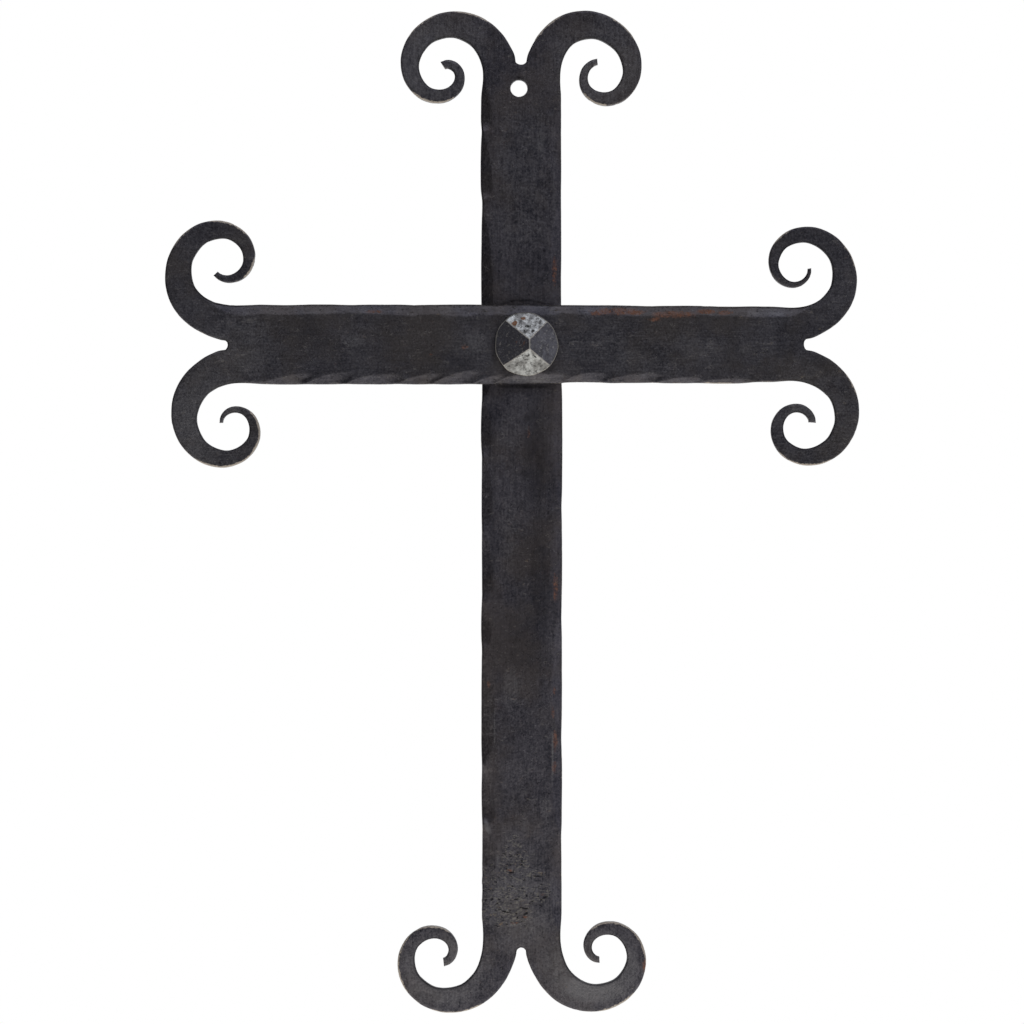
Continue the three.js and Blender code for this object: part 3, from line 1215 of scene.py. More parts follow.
        def face_depth(plan: np.ndarray) -> np.ndarray:
            """Shapes the front face.

            Args:
                plan: Points as rows of x and z.

            Returns:
                The y of each point.
            """
            hole_steepness = 1.8
            crust_share = 0.7
            inset = np.maximum(rim.inset(plan), 0.0)
            for bore in bores:
                reach = np.hypot(plan[:, 0] - bore.x, plan[:, 1] - bore.z) - bore.front_radius
                inset = np.minimum(inset, np.maximum(reach * hole_steepness, 0.0))
            rest = np.maximum(self.round_over - inset, 0.0)
            rounding = self.round_over - np.sqrt(self.round_over**2 - rest**2)
            crust = np.zeros(len(plan))
            for spot in self.spots:
                if spot.mark is Mark.CRUST:
                    crust = np.maximum(crust, spot.spread(plan) * self.above_foot(plan))
            sunk = self.face_sunk + crust * self.work.crust_height * crust_share
            return front + sunk + self.bevel_drop(plan, rim) + rounding

        skin = Skin()
        outlines = [rim.ring]
        outlines += [circle(bore.x, bore.z, bore.front_radius, self.hole_points) for bore in bores]
        close = [rim.offset(row) for row in self.rim_rows]
        for bore in bores:
            close.append(circle(bore.x, bore.z, bore.front_radius + self.hole_row, self.hole_points))
        clear = [(bore.x, bore.z, bore.front_radius) for bore in bores]
        inner = np.concatenate([*close, rim.lattice(self.spacing, self.face_margin, clear)])
        front_rings = skin.add_sheet(outlines, inner, face_depth)

        back_outlines = [rim.ring + rim.normal * self.back_break]
        clear = [(bore.x, bore.z, bore.back_radius + self.hole_break) for bore in bores]
        back_outlines += [circle(*hole, self.hole_points) for hole in clear]
        inner = rim.lattice(self.back_spacing, self.back_margin, clear)
        flat_rings = skin.add_sheet(back_outlines, inner, lambda plan: np.full(len(plan), back))

        before = front_rings[0]
        wall_front = face_depth(rim.ring)
        for share in self.wall_rows:
            ring = skin.add_points(rim.ring, wall_front + (back - self.back_break - wall_front) * share)
            skin.add_band(before, ring)
            before = ring
        skin.add_band(before, flat_rings[0])
        for number, bore in enumerate(bores, start=1):
            steps = [(bore.front_radius, (front + back) / 2), (bore.front_radius, back - self.countersink)]
            steps.append((bore.back_radius, back - self.hole_break))
            before = front_rings[number]
            for radius, depth in steps:
                ring = skin.add_points(circle(bore.x, bore.z, radius, self.hole_points), depth)
                skin.add_band(before, ring)
                before = ring
            skin.add_band(before, flat_rings[number])

        mesh = skin.mesh(self.name)
        set_marks(mesh, self.strengths(place_of(mesh), rim))
        piece = show(mesh, self.name)
        skin_tree.work(piece, self.work, self.finish.material())
        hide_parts(self.node)
        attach(piece, "root")
        return piece


@dataclass
class FacetedRivet:
    """The rivet: a head hammered to four facets that meet in a short ridge, a shank, and its tail.

    Plan points are measured from the rivet's own axis, at x, z, until the mesh is written. A slope
    is how far a facet falls for each millimetre outwards, and bareness tells how bare the right,
    left, top and bottom facets are. It also paints the facets' light: the top and bottom facets
    paler as if lit, the left one darker as if in shade.
    """

    name: str = "rivet_forged"
    node: str = "rivet"
    slot: str = "burnished_iron"
    x: float = 2.9
    z: float = -102.75
    head_radius: float = 12.7
    head_height: float = 6.5
    unevenness: float = 0.012
    flat_depth: float = 0.007
    flat_count: int = 9
    face_sunk: float = 0.06
    dent_depth: float = 0.10
    dent_size: float = 7.0
    round_over: float = 0.5
    ridge_right: float = 1.3
    ridge_half: float = 1.9
    slope_left: float = 0.345
    slope_right: float = 0.44
    slope_top: float = 0.43
    slope_bottom: float = 0.53
    bareness_and_facet_light: tuple[float, float, float, float] = (0.22, 0.02, 0.66, 1.0)
    patches: tuple[Spot, ...] = (
        Spot(Mark.RUST, -4.6, 8.3, 1.7, 1.3, 1.0, 20.0),
        Spot(Mark.RUST, -1.2, 10.3, 2.2, 1.0, 0.6),
        Spot(Mark.RUST, -2.4, 0.6, 3.4, 3.2, 0.3),
        Spot(Mark.SOOT_AND_SHADE, 0.2, 7.1, 1.5, 1.0, 0.85),
        Spot(Mark.SOOT_AND_SHADE, -0.7, 5.4, 0.6, 1.2, 0.6),
        Spot(Mark.SOOT_AND_SHADE, 2.6, 5.2, 1.2, 1.0, 0.85, 30.0),
        Spot(Mark.SOOT_AND_SHADE, -3.5, -7.4, 1.8, 1.0, 0.55),
        Spot(Mark.SOOT_AND_SHADE, 2.1, -7.7, 1.8, 1.1, 0.55),
        Spot(Mark.SOOT_AND_SHADE, -1.4, -4.4, 1.7, 0.35, 1.0, 35.0),
        Spot(Mark.SOOT_AND_SHADE, 3.4, -5.0, 1.4, 0.45, 1.0, -30.0),
        Spot(Mark.SOOT_AND_SHADE, 1.0, -4.3, 0.5, 0.9, 0.8),
    )
    shank_radius: float = 4.0
    shank_fillet: tuple[float, float] = (0.4, 0.3)
    tail_radius: float = 6.5
    tail_depth: float = 2.6
    rim_points: int = 144
    ridge_points: int = 13
    rim_rows: tuple[float, float] = (0.15, 0.35)
    face_margin: float = 0.55
    crest_margin: float = 0.15
    spacing: float = 0.3
    finish: BurnishedIron = BurnishedIron()
    work: SkinWork = SkinWork(planish_depth=0.10, planish_size=4.5, pit_depth=0.16, pit_size=1.7)

    def outline(self, radius: float) -> np.ndarray:
        """Draws the head's uneven round edge, with soft flats left by the hammer.

        Args:
            radius: Its mean radius.

        Returns:
            The edge, anticlockwise.
        """
        oval_phase, corner_phase, flat_phase = 1.9, 0.4, 0.8
        angle = np.arange(self.rim_points) * math.tau / self.rim_points
        uneven = np.cos(2 * angle + oval_phase) + np.cos(3 * angle + corner_phase)
        flats = self.flat_depth * np.cos(self.flat_count * angle + flat_phase)
        reach = radius * (1.0 + self.unevenness * uneven + flats)
        return np.column_stack((reach * np.cos(angle), reach * np.sin(angle)))

    def sides(self, plan: np.ndarray) -> np.ndarray:
        """Works out how far each facet, carried on over the whole head, lies below the ridge.

        Args:
            plan: Points as rows of x and z.

        Returns:
            Four rows: the right, left, top and bottom facet at each point.
        """
        x, z = plan[:, 0], plan[:, 1]
        return np.stack(
            [
                self.slope_right * (x - self.ridge_right),
                self.slope_left * (self.ridge_right - x),
                self.slope_top * (z - self.ridge_half),
                self.slope_bottom * (-z - self.ridge_half),
            ]
        )

    def fall(self, plan: np.ndarray) -> np.ndarray:
        """How far the head's front lies below the ridge, with the shallow dents in its facets."""
        dent = self.dent_depth * ripple(plan, self.dent_size, SEED + 21)
        return np.maximum(self.sides(plan).max(axis=0), 0.0) + self.face_sunk + np.maximum(dent, 0.0) / 2.0

    def hips(self, rim: Rim) -> list[np.ndarray]:
        """Draws the lines where two facets meet.

        Args:
            rim: The head's edge.

        Returns:
            Four lines from an end of the ridge to near the edge, and the ridge.
        """
        lines = []
        step, most_steps = 0.3, 60
        for slope_z, up in ((self.slope_top, 1.0), (self.slope_bottom, -1.0)):
            for slope_x, right in ((self.slope_right, 1.0), (self.slope_left, -1.0)):
                direction = np.array([right, up * slope_x / slope_z])
                direction /= np.linalg.norm(direction)
                start = np.array([self.ridge_right, up * self.ridge_half])
                line = start + direction * (np.arange(1, most_steps) * step)[:, None]
                lines.append(line[rim.inset(line) > self.round_over])
        up_ridge = np.linspace(-self.ridge_half, self.ridge_half, self.ridge_points)
        lines.append(np.column_stack((np.full(len(up_ridge), self.ridge_right), up_ridge)))
        return lines

    def strengths(self, points: np.ndarray, rim: Rim, lines: list[np.ndarray]) -> dict[Mark, np.ndarray]:
        """Works out where each mark lies: wear along the hips and the rim, the rest on the facets.

        Args:
            points: The rivet's points, as rows of x, y and z.
            rim: The head's edge.
            lines: The hips and the ridge.

        Returns:
            The strength of each mark at each point.
        """
        hip_reach, hip_full = 0.42, 0.08
        rim_reach, rim_full, rim_most = 0.5, 0.1, 0.8
        plan = points[:, [0, 2]]
        away = crest_distance(lines, plan)
        inset = np.abs(rim.inset(plan))
        worn_rim = rim_most * smoothstep(rim_reach, rim_full, inset)
        worn = np.maximum(smoothstep(hip_reach, hip_full, away), worn_rim)
        head = points[:, 1] < points[:, 1].min() + self.head_height
        result = {kind: np.zeros(len(points)) for kind in Mark}
        for patch in self.patches:
            result[patch.mark] = np.maximum(result[patch.mark], patch.spread(plan) * head)
        facet = self.sides(plan).argmax(axis=0)
        result[Mark.WEAR] = worn * head
        # Each facet's bareness, which also paints its light: paler top and bottom, darker left.
        result[Mark.SCUFF_AND_SHEEN] = np.array(self.bareness_and_facet_light)[facet] * head
        return result

    def build(self, skin_tree: ForgedSkin) -> bpy.types.Object:
        """Makes the rivet and dresses it.

        Args:
            skin_tree: The tree that works its surface.

        Returns:
            The finished piece, which replaces its CAD node.
        """
        low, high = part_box(self.node)
        top, back = low.y / METRES, high.y / METRES
        head_back = top + self.head_height
        ring = self.outline(self.head_radius)
        rim = Rim(ring)
        lines = self.hips(rim)

        def head_depth(plan: np.ndarray) -> np.ndarray:
            """Shapes the head's front.

            Args:
                plan: Points as rows of x and z.

            Returns:
                The y of each point.
            """
            hip_worn, hip_reach = 0.07, 0.35
            rest = np.maximum(self.round_over - np.maximum(rim.inset(plan), 0.0), 0.0)
            worn = hip_worn * smoothstep(hip_reach, 0.0, crest_distance(lines, plan))
            sunk = top + self.fall(plan) + worn
            return sunk + self.round_over - np.sqrt(self.round_over**2 - rest**2)

        skin = Skin()
        close = [rim.offset(row) for row in self.rim_rows]
        inner = np.concatenate([*close, rim.lattice(self.spacing, self.face_margin)])
        inner = inner[crest_distance(lines, inner) > self.crest_margin]
        before = skin.add_sheet([ring], inner, head_depth, lines)[0]

        edge_break, edge_share = 0.45, 0.985
        rings = [(ring, head_back - edge_break), (ring * edge_share, head_back)]
        fillet_out, fillet_down = self.shank_fillet
        tail_break, tail_round, dish = 0.25, 0.35, 0.05
        stem = circle(0.0, 0.0, 1.0, self.rim_points)
        profile = (
            (self.shank_radius + fillet_out, head_back),
            (self.shank_radius, head_back + fillet_down),
            (self.shank_radius, (head_back + back) / 2),
            (self.shank_radius, back - self.tail_depth),
            (self.tail_radius, back - tail_break),
            (self.tail_radius - tail_round, back),
            (self.tail_radius * 0.7, back - dish),
            (self.tail_radius * 0.4, back),
            (self.tail_radius * 0.15, back),
        )
        rings += [(stem * radius, depth) for radius, depth in profile]
        for plan, depth in rings:
            numbers = skin.add_points(plan, depth)
            skin.add_band(before, numbers)
            before = numbers
        tip = skin.add_points(np.zeros((1, 2)), back)
        skin.faces.extend((int(a), int(b), int(tip[0])) for a, b in zip(before, np.roll(before, -1)))

        mesh = skin.mesh(self.name)
        points = place_of(mesh)
        set_marks(mesh, self.strengths(points, rim, lines))
        mesh.transform(Matrix.Translation(Vector((self.x, 0.0, self.z)) * METRES))
        piece = show(mesh, self.name)
        skin_tree.work(piece, self.work, self.finish.material())
        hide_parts(self.node)
        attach(piece, "root")
        return piece


@dataclass(frozen=True)
class Studio:
    """A pale floor, soft lights and the camera.

    The camera stands straight before the middle of the view, and plane is the depth at which the
    view is frame_width wide.
    """

    middle_x: float = -2.82
    middle_z: float = -169.72
    frame_width: float = 409.6
    camera_distance: float = 3000.0
    sensor: float = 36.0
    plane: float = -9.0
    view_end: float = 50000.0
    floor_z: float = -450.0
    floor_radius: float = 700.0
    floor_colour: str = "efeeec"
    floor_glow: str = "fbf8f2"
    room_colour: str = "f4f5fa"

    def set_camera(self) -> None:
        """Looks straight at the front, as the photograph does."""
        data = bpy.data.cameras.new("camera")
        data.sensor_width = self.sensor
        data.lens = self.sensor * self.camera_distance / self.frame_width
        data.clip_end = self.view_end * METRES
        camera = bpy.data.objects.new("camera", data)
        camera.location = Vector((self.middle_x, self.plane - self.camera_distance, self.middle_z)) * METRES
        camera.rotation_euler = (math.radians(90.0), 0.0, 0.0)
        bpy.context.scene.collection.objects.link(camera)
        bpy.context.scene.camera = camera

    def add_floor(self) -> None:
        """Lays a round pale floor below the cross."""
        mesh = bmesh.new()
        bmesh.ops.create_circle(mesh, cap_ends=True, radius=self.floor_radius * METRES, segments=96)
        data = bpy.data.meshes.new("floor")
        mesh.to_mesh(data)
        mesh.free()
        floor = show(data, "floor")
        floor.location = (0.0, 0.0, self.floor_z * METRES)
        material = bpy.data.materials.new("floor_paper")
        material.use_nodes = True
        shader = material.node_tree.nodes["Principled BSDF"]
        shader.inputs["Base Color"].default_value = srgb(self.floor_colour)
        shader.inputs["Roughness"].default_value = 0.9
        shader.inputs["Emission Color"].default_value = srgb(self.floor_glow)
        shader.inputs["Emission Strength"].default_value = 0.6
        data.materials.append(material)

    def add_light(
        self, name: str, place: Sequence[float], size: Sequence[float], watts: float, colour: str
    ) -> None:
        """Hangs one soft box that faces the cross.

        Args:
            name: Its name.
            place: Its middle, in metres.
            size: Its width and height, in metres.
            watts: Its power.
            colour: Its colour, as a hex value.
        """
        data = bpy.data.lights.new(name, "AREA")
        data.shape = "RECTANGLE"
        data.size, data.size_y = size
        data.energy = watts
        data.color = srgb(colour)[:3]
        light = bpy.data.objects.new(name, data)
        light.location = place
        aim = Vector((0.0, 0.0, self.middle_z * METRES)) - Vector(place)
        light.rotation_euler = aim.to_track_quat("-Z", "Y").to_euler()
        light.visible_camera = False
        bpy.context.scene.collection.objects.link(light)

    def set_world(self) -> None:
        """Gives the camera a white background, and the iron a dim room to mirror.

        The room is brightest to the right and behind, and dark to the left.
        """
        world = bpy.data.worlds.new("room")
        bpy.context.scene.world = world
        world.use_nodes = True
        tree = world.node_tree
        tree.nodes.clear()
        seen = add_node(tree, "ShaderNodeLightPath")["Is Camera Ray"]
        place = add_node(tree, "ShaderNodeTexCoord")["Generated"]
        across, behind, _ = add_node(tree, "ShaderNodeSeparateXYZ", {0: place})
        sides = {"Value": across, "From Min": -0.5, "From Max": 0.1, "To Min": 0.05, "To Max": 0.27}
        dim = add_node(tree, "ShaderNodeMapRange", sides)[0]
        depths = {"Value": behind, "From Min": 0.0, "From Max": 0.8, "To Min": 0.0, "To Max": 0.5}
        lit = add_node(tree, "ShaderNodeMapRange", depths)[0]
        strength = weighted(tree, 0.0, (dim, 1.0), (lit, 1.0))
        dim_room = {"Color": srgb(self.room_colour), "Strength": strength}
        room = add_node(tree, "ShaderNodeBackground", dim_room)[0]
        white = add_node(tree, "ShaderNodeBackground", {"Color": srgb("ffffff"), "Strength": 1.0})[0]
        both = add_node(tree, "ShaderNodeMixShader", {0: seen, 1: room, 2: white})[0]
        add_node(tree, "ShaderNodeOutputWorld", {"Surface": both})

    def build(self) -> None:
        """Sets up all of it."""
        bpy.context.scene.view_settings.view_transform = "Standard"
        self.set_camera()
        self.add_floor()
        self.set_world()
        self.add_light("box above", place=(0.0, -1.05, 0.95), size=(1.6, 0.7), watts=4.4, colour="eef2ff")
        self.add_light("box right", place=(1.3, -1.1, -0.1), size=(0.5, 0.9), watts=0.8, colour="e6e9ff")


def upright_bar() -> FlatBar:
    """Gathers the upright's sizes, blows and marks.

    Returns:
        The upright, with its marks where the real one has them.
    """
    left, right = Side.MINUS, Side.PLUS
    return FlatBar(
        name="upright_forged",
        node="upright",
        slot="forge_scale",
        upright=True,
        half_width=15.9,
        finish=ScaledIron(
            name="forge_scale",
            dark="3d3c43",
            pale="69666c",
            warm="5f5855",
            brushed=(1.4, 1.0, 0.12),
        ),
        bevels=[
            Bevel(right, -12.0, -330.0, 4.1, 1.5),
            Bevel(left, -110.0, -320.0, 2.6, 1.0),
        ],
        blows=[
            Blow(left, 2.9, -17.1, 4.5, 1.7, 0.25, 0.7, 0.5),
            Blow(left, -17.1, -44.5, 4.6, 1.8, 0.35, 0.7, 0.62),
            Blow(left, -47.9, -96.0, 4.8, 1.9, 0.25, 0.7, 0.4),
            Blow(left, -96.0, -125.1, 3.8, 1.5, 0.0, 0.7, 0.06),
            Blow(left, -124.0, -148.0, 4.6, 1.8, 0.1, 0.7, 0.5),
            Blow(left, -146.0, -178.0, 4.5, 1.8, 0.1, 0.7, 0.25),
            Blow(left, -178.0, -205.5, 4.8, 1.9, 0.0, 0.7, 0.1),
            Blow(left, -204.0, -224.0, 4.2, 1.7, 0.1, 0.7, 0.35),
            Blow(left, -226.0, -272.0, 5.4, 2.0, 0.05, 0.7, 0.34),
            Blow(left, -269.0, -294.5, 5.4, 2.0, 0.2, 0.7, 0.2),
            Blow(left, -293.5, -329.0, 5.2, 2.0, -0.35, 1.6, -0.08),
            Blow(right, -5.0, -46.0, 4.4, 1.6, 0.0, swell=0.1),
            Blow(right, -43.0, -92.0, 4.6, 1.7, 0.1, swell=0.05),
            Blow(right, -112.0, -170.0, 4.1, 1.6, 0.0, swell=0.62),
            Blow(right, -165.0, -214.0, 4.4, 1.7, 0.1, swell=0.44),
            Blow(right, -210.0, -262.0, 4.2, 1.6, 0.0, swell=0.4),
            Blow(right, -258.0, -300.0, 4.0, 1.5, 0.0, swell=0.45),
            Blow(right, -296.0, -338.0, 4.7, 1.7, 0.3, swell=0.25),
        ],
        spots=[
            # Rubbed places of the face, from the hanging hole down.
            Spot(Mark.SCUFF_AND_SHEEN, 8.8, -21.5, 2.6, 8.2, 0.42),
            Spot(Mark.SCUFF_AND_SHEEN, 8.0, -9.0, 3.0, 5.0, 0.2),
            Spot(Mark.SCUFF_AND_SHEEN, 0.5, -56.0, 7.0, 7.0, 0.2),
            Spot(Mark.SCUFF_AND_SHEEN, 2.0, -36.0, 18.0, 44.0, 0.26),
            Spot(Mark.SCUFF_AND_SHEEN, 0.0, -296.0, 16.0, 30.0, 0.1),
            Spot(Mark.SCUFF_AND_SHEEN, -3.0, -240.0, 5.0, 14.0, 0.26),
            Spot(Mark.SCUFF_AND_SHEEN, -4.0, -180.0, 6.0, 20.0, 0.22),
            Spot(Mark.SCUFF_AND_SHEEN, -4.0, -140.0, 6.0, 20.0, 0.16),
            Spot(Mark.SCUFF_AND_SHEEN, 14.2, -37.0, 1.5, 26.0, 0.3),
            # Rust, most of it on the right bevel.
            Spot(Mark.RUST, 14.2, -73.5, 1.6, 8.5, 0.62),
            Spot(Mark.RUST, 14.6, -200.0, 1.6, 8.5, 0.66),
            Spot(Mark.RUST, 14.4, -261.5, 1.4, 6.5, 0.62),
            Spot(Mark.RUST, 14.0, -272.0, 1.2, 3.5, 0.56),
            Spot(Mark.RUST, 14.2, -241.5, 1.0, 2.5, 0.58),
            Spot(Mark.RUST, 13.6, -249.5, 0.9, 4.0, 0.55),
            Spot(Mark.RUST, -12.2, -238.8, 1.0, 2.0, 0.66),
            Spot(Mark.RUST, 3.9, -138.0, 0.7, 3.5, 0.6),
            # Stains of the face, painted shadow along the crossbar's top and bottom edges where it rests on
            # the upright, and painted shade at the top of the hanging hole.
            Spot(Mark.SOOT_AND_SHADE, 2.8, -132.0, 2.2, 3.2, 0.5),
            Spot(Mark.SOOT_AND_SHADE, 2.6, -154.5, 2.4, 5.5, 0.42),
            Spot(Mark.SOOT_AND_SHADE, 6.5, -146.0, 7.0, 38.0, 0.4),
            Spot(Mark.SOOT_AND_SHADE, 8.0, -200.0, 6.0, 44.0, 0.36),
            Spot(Mark.SOOT_AND_SHADE, 2.0, -220.0, 13.0, 24.0, 0.3),
            Spot(Mark.SOOT_AND_SHADE, -10.5, -160.0, 2.2, 60.0, 0.24),
            # Painted shadow along the crossbar's top edge.
            Spot(Mark.SOOT_AND_SHADE, 1.5, -85.0, 7.0, 0.8, 0.6),
            Spot(Mark.SOOT_AND_SHADE, -4.8, -85.9, 5.5, 0.7, 0.5, 14.0),
            Spot(Mark.SOOT_AND_SHADE, 8.0, -85.8, 5.5, 0.7, 0.5, -14.0),
            # Painted shade in the top of the hanging hole.
            Spot(Mark.SOOT_AND_SHADE, 0.0, 3.9, 3.4, 1.0, 0.5),
            # Painted shadow along the crossbar's bottom edge.
            Spot(Mark.SOOT_AND_SHADE, 2.0, -119.5, 16.0, 1.3, 0.6),
            # The crust above the foot, with its cracks, pale lines and rust.
            Spot(Mark.CRUST, -2.0, -311.0, 9.0, 16.0, 0.6),
            Spot(Mark.CRUST, -4.0, -328.0, 13.0, 15.0, 0.95),
            Spot(Mark.CRUST, 8.5, -323.0, 6.0, 6.0, 0.85),
            Spot(Mark.CRUST, 7.0, -315.0, 6.0, 3.0, 0.75),
            Spot(Mark.CRUST, -12.0, -322.0, 5.0, 22.0, 0.6),
            Spot(Mark.SCUFF_AND_SHEEN, 0.0, -326.0, 24.0, 30.0, 0.3),
            Spot(Mark.SOOT_AND_SHADE, -3.2, -314.2, 1.8, 0.45, 1.0),
            Spot(Mark.SOOT_AND_SHADE, 7.2, -315.6, 2.4, 0.45, 0.9, -8.0),
            Spot(Mark.SOOT_AND_SHADE, 1.8, -328.4, 2.2, 0.5, 0.85, -14.0),
            Spot(Mark.SOOT_AND_SHADE, 2.6, -330.6, 1.6, 0.6, 0.9, 30.0),
            Spot(Mark.SOOT_AND_SHADE, 10.4, -324.0, 1.6, 0.5, 1.0, 25.0),
            Spot(Mark.SOOT_AND_SHADE, 8.6, -327.2, 1.6, 0.45, 0.85, -30.0),
            Spot(Mark.SOOT_AND_SHADE, -5.0, -329.9, 3.8, 0.4, 0.8, -14.0),
            Spot(Mark.SCUFF_AND_SHEEN, -5.4, -329.0, 4.2, 0.3, 0.9, -14.0),
            Spot(Mark.SCUFF_AND_SHEEN, -9.0, -334.4, 6.0, 0.3, 0.6),
            Spot(Mark.SCUFF_AND_SHEEN, -8.6, -309.5, 0.4, 4.0, 0.6),
            Spot(Mark.RUST, -3.8, -313.4, 2.4, 0.7, 0.56),
            Spot(Mark.RUST, 9.4, -322.8, 1.5, 0.8, 0.56, 30.0),
            Spot(Mark.RUST, -2.0, -334.2, 2.8, 0.8, 0.5),
            Spot(Mark.RUST, 2.6, -331.8, 1.7, 0.9, 0.5),
            # Pale streaks along the edges, a painted sheen at the left edge above the foot, and the paler
            # scrolls.
            # Painted sheen: a pale wedge where the left edge's facet would mirror the light.
            Spot(Mark.SCUFF_AND_SHEEN, -12.9, -295.5, 1.7, 5.0, 0.7, 18.0),
            Spot(Mark.SCUFF_AND_SHEEN, 13.4, -267.0, 0.6, 17.0, 0.7),
            Spot(Mark.SCUFF_AND_SHEEN, -9.8, -257.0, 0.6, 13.0, 0.55),
            Spot(Mark.SCUFF_AND_SHEEN, -13.0, -258.0, 4.0, 40.0, 0.2),
            Spot(Mark.SCUFF_AND_SHEEN, 10.6, -288.0, 3.6, 7.0, 0.3),
            Spot(Mark.SCUFF_AND_SHEEN, -30.0, -352.0, 26.0, 24.0, 0.45),
            Spot(Mark.SCUFF_AND_SHEEN, -28.0, -363.0, 15.0, 7.0, 0.42),
            Spot(Mark.SCUFF_AND_SHEEN, 28.0, -352.0, 28.0, 26.0, 0.45),
            Spot(Mark.SCUFF_AND_SHEEN, 30.0, -360.0, 19.0, 9.0, 0.86),
            Spot(Mark.SCUFF_AND_SHEEN, 43.0, -352.0, 7.0, 12.0, 0.5),
            Spot(Mark.SCUFF_AND_SHEEN, -34.0, 10.0, 30.0, 30.0, 0.42),
            Spot(Mark.SCUFF_AND_SHEEN, 34.0, 10.0, 30.0, 30.0, 0.4),
            # Edges of the scrolls, rubbed to bare iron.
            Spot(Mark.WEAR, -46.5, -350.0, 6.0, 17.0, 0.9),
            Spot(Mark.WEAR, -34.0, -334.0, 12.0, 7.0, 0.7),
            Spot(Mark.WEAR, -24.0, -369.0, 16.0, 6.0, 0.4),
            Spot(Mark.WEAR, 36.0, -334.0, 13.0, 5.5, 0.8),
            Spot(Mark.WEAR, 48.0, -342.0, 6.0, 13.0, 0.9),
            Spot(Mark.WEAR, 38.0, -365.0, 12.0, 8.0, 0.6),
            Spot(Mark.RUST, 50.5, -351.5, 1.6, 4.0, 0.8),
            Spot(Mark.WEAR, -40.0, 26.0, 10.0, 9.0, 0.6),
            Spot(Mark.WEAR, -19.0, 28.0, 10.0, 6.0, 0.95),
            Spot(Mark.WEAR, -35.0, -3.5, 11.0, 5.0, 0.95),
            Spot(Mark.WEAR, 11.0, 24.0, 9.0, 10.0, 0.75),
            Spot(Mark.WEAR, 41.0, 24.0, 9.0, 9.0, 0.6),
            Spot(Mark.WEAR, 30.0, -5.0, 7.0, 5.0, 0.9),
        ],
    )


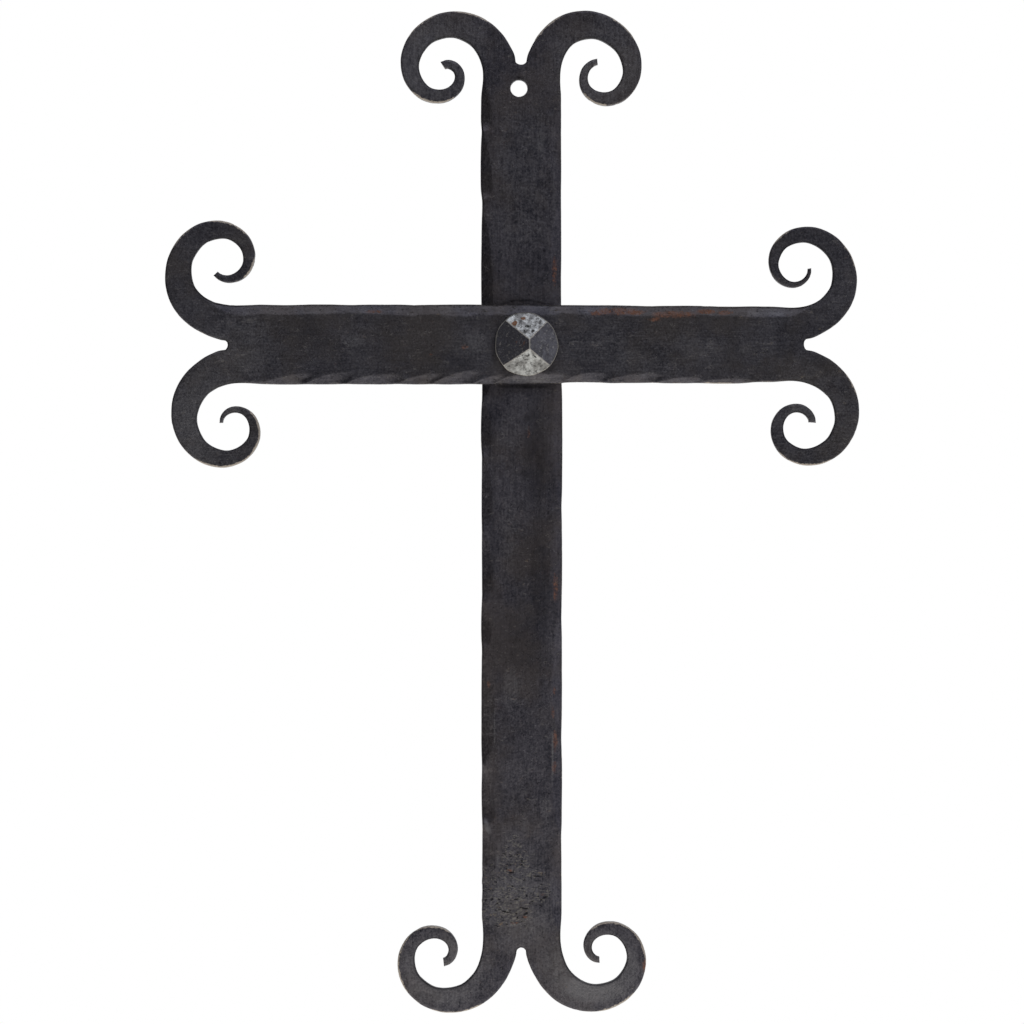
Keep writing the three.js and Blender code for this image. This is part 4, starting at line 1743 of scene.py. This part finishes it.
def cross_bar() -> FlatBar:
    """Gathers the crossbar's sizes, blows and marks.

    Returns:
        The crossbar, with its marks where the real one has them.
    """
    top, bottom = Side.PLUS, Side.MINUS
    return FlatBar(
        name="crossbar_forged",
        node="crossbar",
        slot="brushed_scale",
        upright=False,
        half_width=15.5,
        finish=ScaledIron(
            name="brushed_scale",
            dark="3e3d43",
            pale="69676c",
            warm="5e5854",
            brushed=(0.12, 1.0, 1.4),
        ),
        bevels=[Bevel(top, -122.0, 112.0, 3.9, 1.5)],
        blows=[
            Blow(top, -124.0, -90.0, 4.2, 1.5, 0.0),
            Blow(top, -95.0, -66.0, 3.9, 1.6, 0.0),
            Blow(top, -70.0, -42.0, 3.3, 1.4, 0.0),
            Blow(top, -44.0, -8.0, 4.8, 1.8, 0.15),
            Blow(top, -14.0, 12.0, 3.8, 1.6, 0.0),
            Blow(top, 12.0, 54.0, 3.8, 1.5, 0.0),
            Blow(top, 50.0, 80.0, 4.0, 1.6, 0.1),
            Blow(top, 86.0, 117.0, 4.2, 1.7, 0.0),
            Blow(bottom, -104.0, -84.0, 4.2, 1.6, 0.1, 1.8),
            Blow(bottom, -86.5, -68.0, 4.6, 1.9, -0.2, 1.8),
            Blow(bottom, -71.0, -46.0, 4.0, 1.8, -0.1, 1.8),
            Blow(bottom, -50.0, -33.0, 4.4, 1.8, 0.1, 1.8),
            Blow(bottom, -36.5, -17.0, 5.2, 2.0, -0.15, 1.8),
            Blow(bottom, -20.0, -8.0, 3.6, 1.6, 0.1, 1.8),
            Blow(bottom, -15.0, 22.0, 4.2, 2.0, -0.1, 1.8, 0.1),
            Blow(bottom, 16.0, 36.0, 3.8, 1.7, -0.3, 1.8, -0.45),
            Blow(bottom, 31.0, 56.0, 3.9, 1.7, 0.15, 1.8, 0.04),
            Blow(bottom, 54.0, 74.0, 2.4, 1.4, 0.0, 1.8, 0.3),
            Blow(bottom, 70.0, 94.0, 1.8, 1.2, 0.0, 1.8, 0.5),
        ],
        spots=[
            # Rubbed places of the face, the bevels and the scrolls.
            Spot(Mark.SCUFF_AND_SHEEN, -66.5, -101.8, 6.5, 3.8, 0.36),
            Spot(Mark.SCUFF_AND_SHEEN, 90.5, -104.7, 3.6, 3.4, 0.34),
            Spot(Mark.SCUFF_AND_SHEEN, -17.5, -103.0, 7.0, 6.5, 0.3),
            Spot(Mark.SCUFF_AND_SHEEN, 42.0, -101.0, 28.0, 3.0, 0.24),
            Spot(Mark.SCUFF_AND_SHEEN, 54.0, -104.0, 50.0, 15.0, 0.17),
            Spot(Mark.SCUFF_AND_SHEEN, 99.0, -89.8, 16.0, 2.4, 0.26),
            Spot(Mark.SCUFF_AND_SHEEN, 2.0, -116.6, 14.0, 2.0, 0.3),
            Spot(Mark.SCUFF_AND_SHEEN, -82.0, -90.3, 6.0, 2.2, 0.2),
            Spot(Mark.SCUFF_AND_SHEEN, -110.0, -103.0, 20.0, 18.0, 0.28),
            Spot(Mark.SCUFF_AND_SHEEN, -126.0, -132.0, 26.0, 32.0, 0.42),
            Spot(Mark.SCUFF_AND_SHEEN, 120.0, -130.0, 26.0, 30.0, 0.26),
            # Stains of the face, and a painted shadow round the rivet on its left, lower right and right.
            Spot(Mark.SOOT_AND_SHADE, -83.0, -100.0, 10.0, 9.0, 0.24),
            Spot(Mark.SOOT_AND_SHADE, -50.0, -108.0, 8.0, 6.0, 0.2),
            Spot(Mark.SOOT_AND_SHADE, -24.0, -110.0, 7.0, 5.0, 0.26),
            Spot(Mark.SOOT_AND_SHADE, -18.0, -93.6, 9.0, 2.6, 0.24),
            Spot(Mark.SOOT_AND_SHADE, 85.0, -106.0, 6.0, 12.0, 0.22),
            Spot(Mark.SOOT_AND_SHADE, 106.6, -95.5, 0.9, 3.5, 0.4),
            # Painted shadow round the rivet's head.
            Spot(Mark.SOOT_AND_SHADE, -9.8, -104.5, 2.0, 9.0, 0.42),
            Spot(Mark.SOOT_AND_SHADE, 12.0, -112.0, 5.0, 3.0, 0.4, 35.0),
            Spot(Mark.SOOT_AND_SHADE, 15.8, -104.0, 1.6, 8.0, 0.3),
            # Rust beside the rivet and on the top bevel.
            Spot(Mark.RUST, -21.8, -103.8, 2.0, 1.5, 0.58),
            Spot(Mark.RUST, -35.4, -106.7, 1.0, 1.0, 0.5),
            Spot(Mark.RUST, -58.0, -89.6, 5.0, 1.2, 0.5),
            Spot(Mark.RUST, 40.0, -89.6, 15.0, 2.2, 0.6),
            Spot(Mark.RUST, 31.0, -90.4, 4.0, 1.2, 0.7),
            Spot(Mark.RUST, 46.0, -90.0, 6.0, 1.4, 0.8),
            Spot(Mark.RUST, 62.0, -90.8, 13.0, 2.2, 0.7),
            Spot(Mark.RUST, 82.0, -90.0, 5.0, 1.4, 0.66),
            Spot(Mark.RUST, 75.0, -89.6, 6.0, 1.4, 0.76),
            Spot(Mark.RUST, 54.0, -92.8, 4.0, 1.2, 0.66),
            Spot(Mark.SOOT_AND_SHADE, 86.5, -92.6, 1.2, 2.6, 0.4),
            # Edges of the scrolls, rubbed to bare iron.
            Spot(Mark.WEAR, -113.0, -118.0, 6.0, 1.5, 0.5),
            Spot(Mark.WEAR, 79.5, -118.0, 9.0, 1.6, 0.3),
            Spot(Mark.WEAR, -117.0, -150.5, 17.0, 6.0, 1.0),
            Spot(Mark.WEAR, -105.5, -138.0, 5.0, 13.0, 1.0),
            Spot(Mark.WEAR, -116.0, -56.0, 12.0, 5.5, 1.0),
            Spot(Mark.WEAR, -107.0, -73.0, 5.0, 6.0, 0.85),
            Spot(Mark.WEAR, -134.0, -62.0, 7.0, 11.0, 0.4),
            Spot(Mark.WEAR, -99.0, -96.0, 14.0, 12.0, 0.35),
            Spot(Mark.WEAR, 88.5, -138.0, 4.0, 8.0, 0.95),
            Spot(Mark.WEAR, 100.0, -149.0, 9.0, 5.0, 0.6),
            Spot(Mark.WEAR, 128.0, -121.0, 9.0, 9.0, 0.7),
            Spot(Mark.WEAR, 116.0, -150.0, 12.0, 6.0, 0.5),
            Spot(Mark.WEAR, 98.0, -59.0, 16.0, 5.0, 0.6),
            Spot(Mark.WEAR, 128.0, -70.0, 10.0, 12.0, 0.45),
        ],
    )


def main() -> None:
    """Builds the cross and the studio, and reports each piece."""
    logging.basicConfig(level=logging.INFO, format="%(message)s")
    skin_tree = ForgedSkin()
    for part in (upright_bar(), cross_bar(), FacetedRivet()):
        piece = part.build(skin_tree)
        log.info("%s: %d triangles", piece.name, len(piece.data.polygons))
    Studio().build()


if __name__ == "__main__":
    main()
